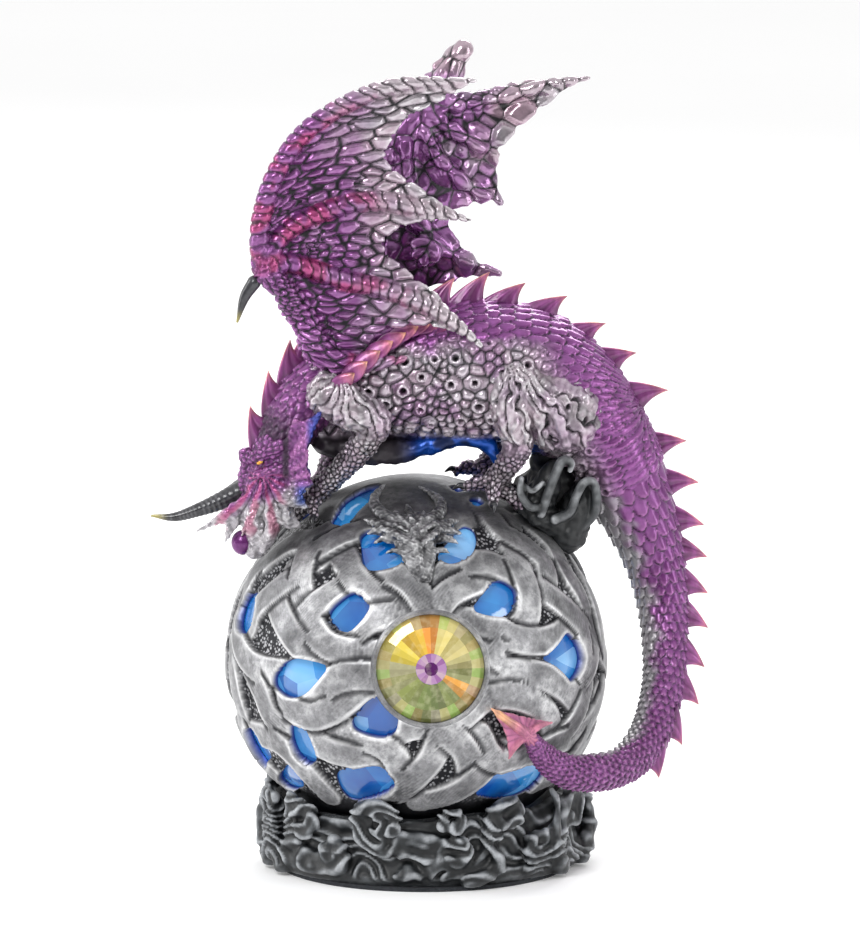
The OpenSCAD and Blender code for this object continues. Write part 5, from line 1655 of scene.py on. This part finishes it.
def make_scutes():
    """A row of pink leaf-shaped plates along the root of each wing."""
    for side, name in ((-1, "scutes_left"), (1, "scutes_right")):
        parts, tips = [], []
        for i in range(9):
            t = i / 8
            x = -20.5 + 25 * t
            z = 126.5 + 12.5 * math.sin(t * 1.75)
            y = side * (math.sqrt(max(15.5 ** 2 - (z - 126) ** 2, 25)) + 0.3)
            out = unit([0, y, (z - 126) * 0.9])
            along = unit([0.75, 0, 0.66 - 0.55 * t])
            along = unit(along - out * (along @ out))
            over = np.cross(along, out)
            rings = []
            for k in np.linspace(0, 1, 8):
                wide = 2.4 * math.sin(math.pi * (0.18 + 0.82 * k)) ** 0.8 + 0.06
                centre = np.array([x, y, z]) + along * (7.4 * k - 2.6) + out * (0.5 + 1.5 * k)
                around = np.arange(10) * math.pi / 5
                rings.append(centre + np.cos(around)[:, None] * over * wide
                             + np.sin(around)[:, None] * out * 0.75)
            parts.append(loft(rings))
            reach = np.repeat(np.linspace(0, 1, 8), 10)
            tips.append(np.concatenate([0.35 + 0.6 * reach ** 2, [0.3, 1]]))
        skin = Skin(parts)
        skin.paint["tip"] = np.concatenate(tips)
        skin.piece(name, crest_paint, "pink_resin")


# ---------------------------------------------------------------- carried-over CAD nodes

def dress_nodes():
    white = plain_material("moulded_white", (0.62, 0.61, 0.56), (0.74, 0.73, 0.69), 0, (0.4, 0.6))
    steel = plain_material("plated_steel", (0.38, 0.38, 0.39), (0.62, 0.62, 0.63), 1, (0.2, 0.4))
    brass = plain_material("spring_brass", (0.52, 0.38, 0.14), (0.72, 0.56, 0.24), 1, (0.2, 0.4))
    felt = plain_material("felt", (0.012, 0.014, 0.018), (0.035, 0.038, 0.045), 0, (0.85, 1.0),
                          900, 0.4)
    board = plain_material("solder_mask", (0.01, 0.12, 0.04), (0.02, 0.22, 0.08), 0, (0.25, 0.4))
    black = plain_material("moulded_black", (0.012, 0.012, 0.013), (0.03, 0.03, 0.032), 0,
                           (0.4, 0.55))
    clear = plain_material("clear_cap", (0.75, 0.82, 0.9), (0.88, 0.93, 0.98), 0, (0.08, 0.2))
    looks = {"felt_pad": felt, "orb_globe": globe_paint, "gem_bezel": strap_paint,
             "light_tub": white, "battery_door": white,
             "tub_screws": steel, "board_screws": steel, "door_screw": steel,
             "switch_case": steel, "battery_spring": steel, "button_cells": steel,
             "contact_positive": brass, "contact_negative": brass, "circuit_board": board,
             "switch_knob": black, "led": clear, "light_lens": clear}
    for node, look in looks.items():
        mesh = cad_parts[node].data
        mesh.materials.clear()
        mesh.materials.append(look)


# ---------------------------------------------------------------- stage

def area_light(name, place, target, size, watts, colour=(1, 1, 1)):
    data = bpy.data.lights.new(name, "AREA")
    data.shape = "RECTANGLE"
    data.size, data.size_y = size
    data.energy = watts
    data.color = colour
    obj = bpy.data.objects.new(name, data)
    bpy.context.scene.collection.objects.link(obj)
    obj.location = place
    obj.rotation_euler = (Vector(target) - Vector(place)).to_track_quat("-Z", "Y").to_euler()


def floor_material():
    g = Graph("pale_floor")
    g.set(Emission_Color=(1, 1, 1, 1), Emission_Strength=0.1)
    g.colour(g.ramp(g.noise(3, 3), [(0.3, (0.93, 0.93, 0.93)), (0.7, (0.96, 0.96, 0.96))]))
    g.rough(g.noise(5), 0.7, 0.8)
    return g.mat


def make_stage():
    mesh = bpy.data.meshes.new("floor")
    half = 12.0
    mesh.from_pydata([(-half, -half, 0), (half, -half, 0), (half, half, 0), (-half, half, 0)], [],
                     [(0, 1, 2, 3)])
    mesh.materials.append(floor_material())
    floor = bpy.data.objects.new("floor", mesh)
    bpy.context.scene.collection.objects.link(floor)
    middle = (0, 0, 0.11)
    area_light("key", (-0.45, -0.75, 0.75), middle, (0.3, 0.45), 5.5)
    area_light("fill", (0.85, -0.5, 0.30), middle, (0.2, 0.7), 2.5)
    area_light("rim", (0.25, 0.7, 0.7), middle, (0.6, 0.3), 5)
    area_light("left_edge", (-0.8, 0.1, 0.3), middle, (0.15, 0.7), 2.2)
    world = bpy.data.worlds.new("studio")
    bpy.context.scene.world = world
    world.use_nodes = True
    nodes, links = world.node_tree.nodes, world.node_tree.links
    coords = nodes.new("ShaderNodeTexCoord")
    ramp = nodes.new("ShaderNodeValToRGB")
    blend = nodes.new("ShaderNodeVectorMath")
    blend.operation = "DOT_PRODUCT"
    blend.inputs[1].default_value = (0.0, 0.62, 0.78)
    span = nodes.new("ShaderNodeMapRange")
    span.inputs["From Min"].default_value = -1
    links.new(coords.outputs["Generated"], blend.inputs[0])
    links.new(blend.outputs["Value"], span.inputs["Value"])
    links.new(span.outputs["Result"], ramp.inputs["Fac"])
    ramp.color_ramp.elements[0].position = 0.22
    ramp.color_ramp.elements[0].color = (0.02, 0.02, 0.022, 1)
    ramp.color_ramp.elements[1].color = (1.0, 1.0, 1.0, 1)
    ramp.color_ramp.elements[1].position = 0.72
    links.new(ramp.outputs["Color"], nodes["Background"].inputs["Color"])
    nodes["Background"].inputs["Strength"].default_value = 1.0
    bpy.context.scene.view_settings.view_transform = "Standard"


def make_camera():
    """A long lens, slightly above, turned a little to the dragon's head side."""
    azimuth, elevation, distance = math.radians(-4.5), math.radians(10), 3.0
    aim = Vector((0.0036, 0, 0.1027))
    back = Vector((math.sin(azimuth) * math.cos(elevation),
                   -math.cos(azimuth) * math.cos(elevation), math.sin(elevation)))
    data = bpy.data.cameras.new("camera")
    data.sensor_fit = "VERTICAL"
    data.sensor_height = 36
    data.lens = 36 * distance / 0.2362
    data.clip_end = 20
    camera = bpy.data.objects.new("camera", data)
    camera.location = aim + back * distance
    camera.rotation_euler = (-back).to_track_quat("-Z", "Y").to_euler()
    bpy.context.scene.collection.objects.link(camera)
    bpy.context.scene.camera = camera


make_camera()
make_stage()
dress_nodes()
make_torso()
make_neck()
make_tail()
make_tail_tip()
make_wings()
make_legs()
make_head()
make_horns()
make_scutes()
make_cage()
make_gem()
make_emblem()
make_plinth()
make_perch()
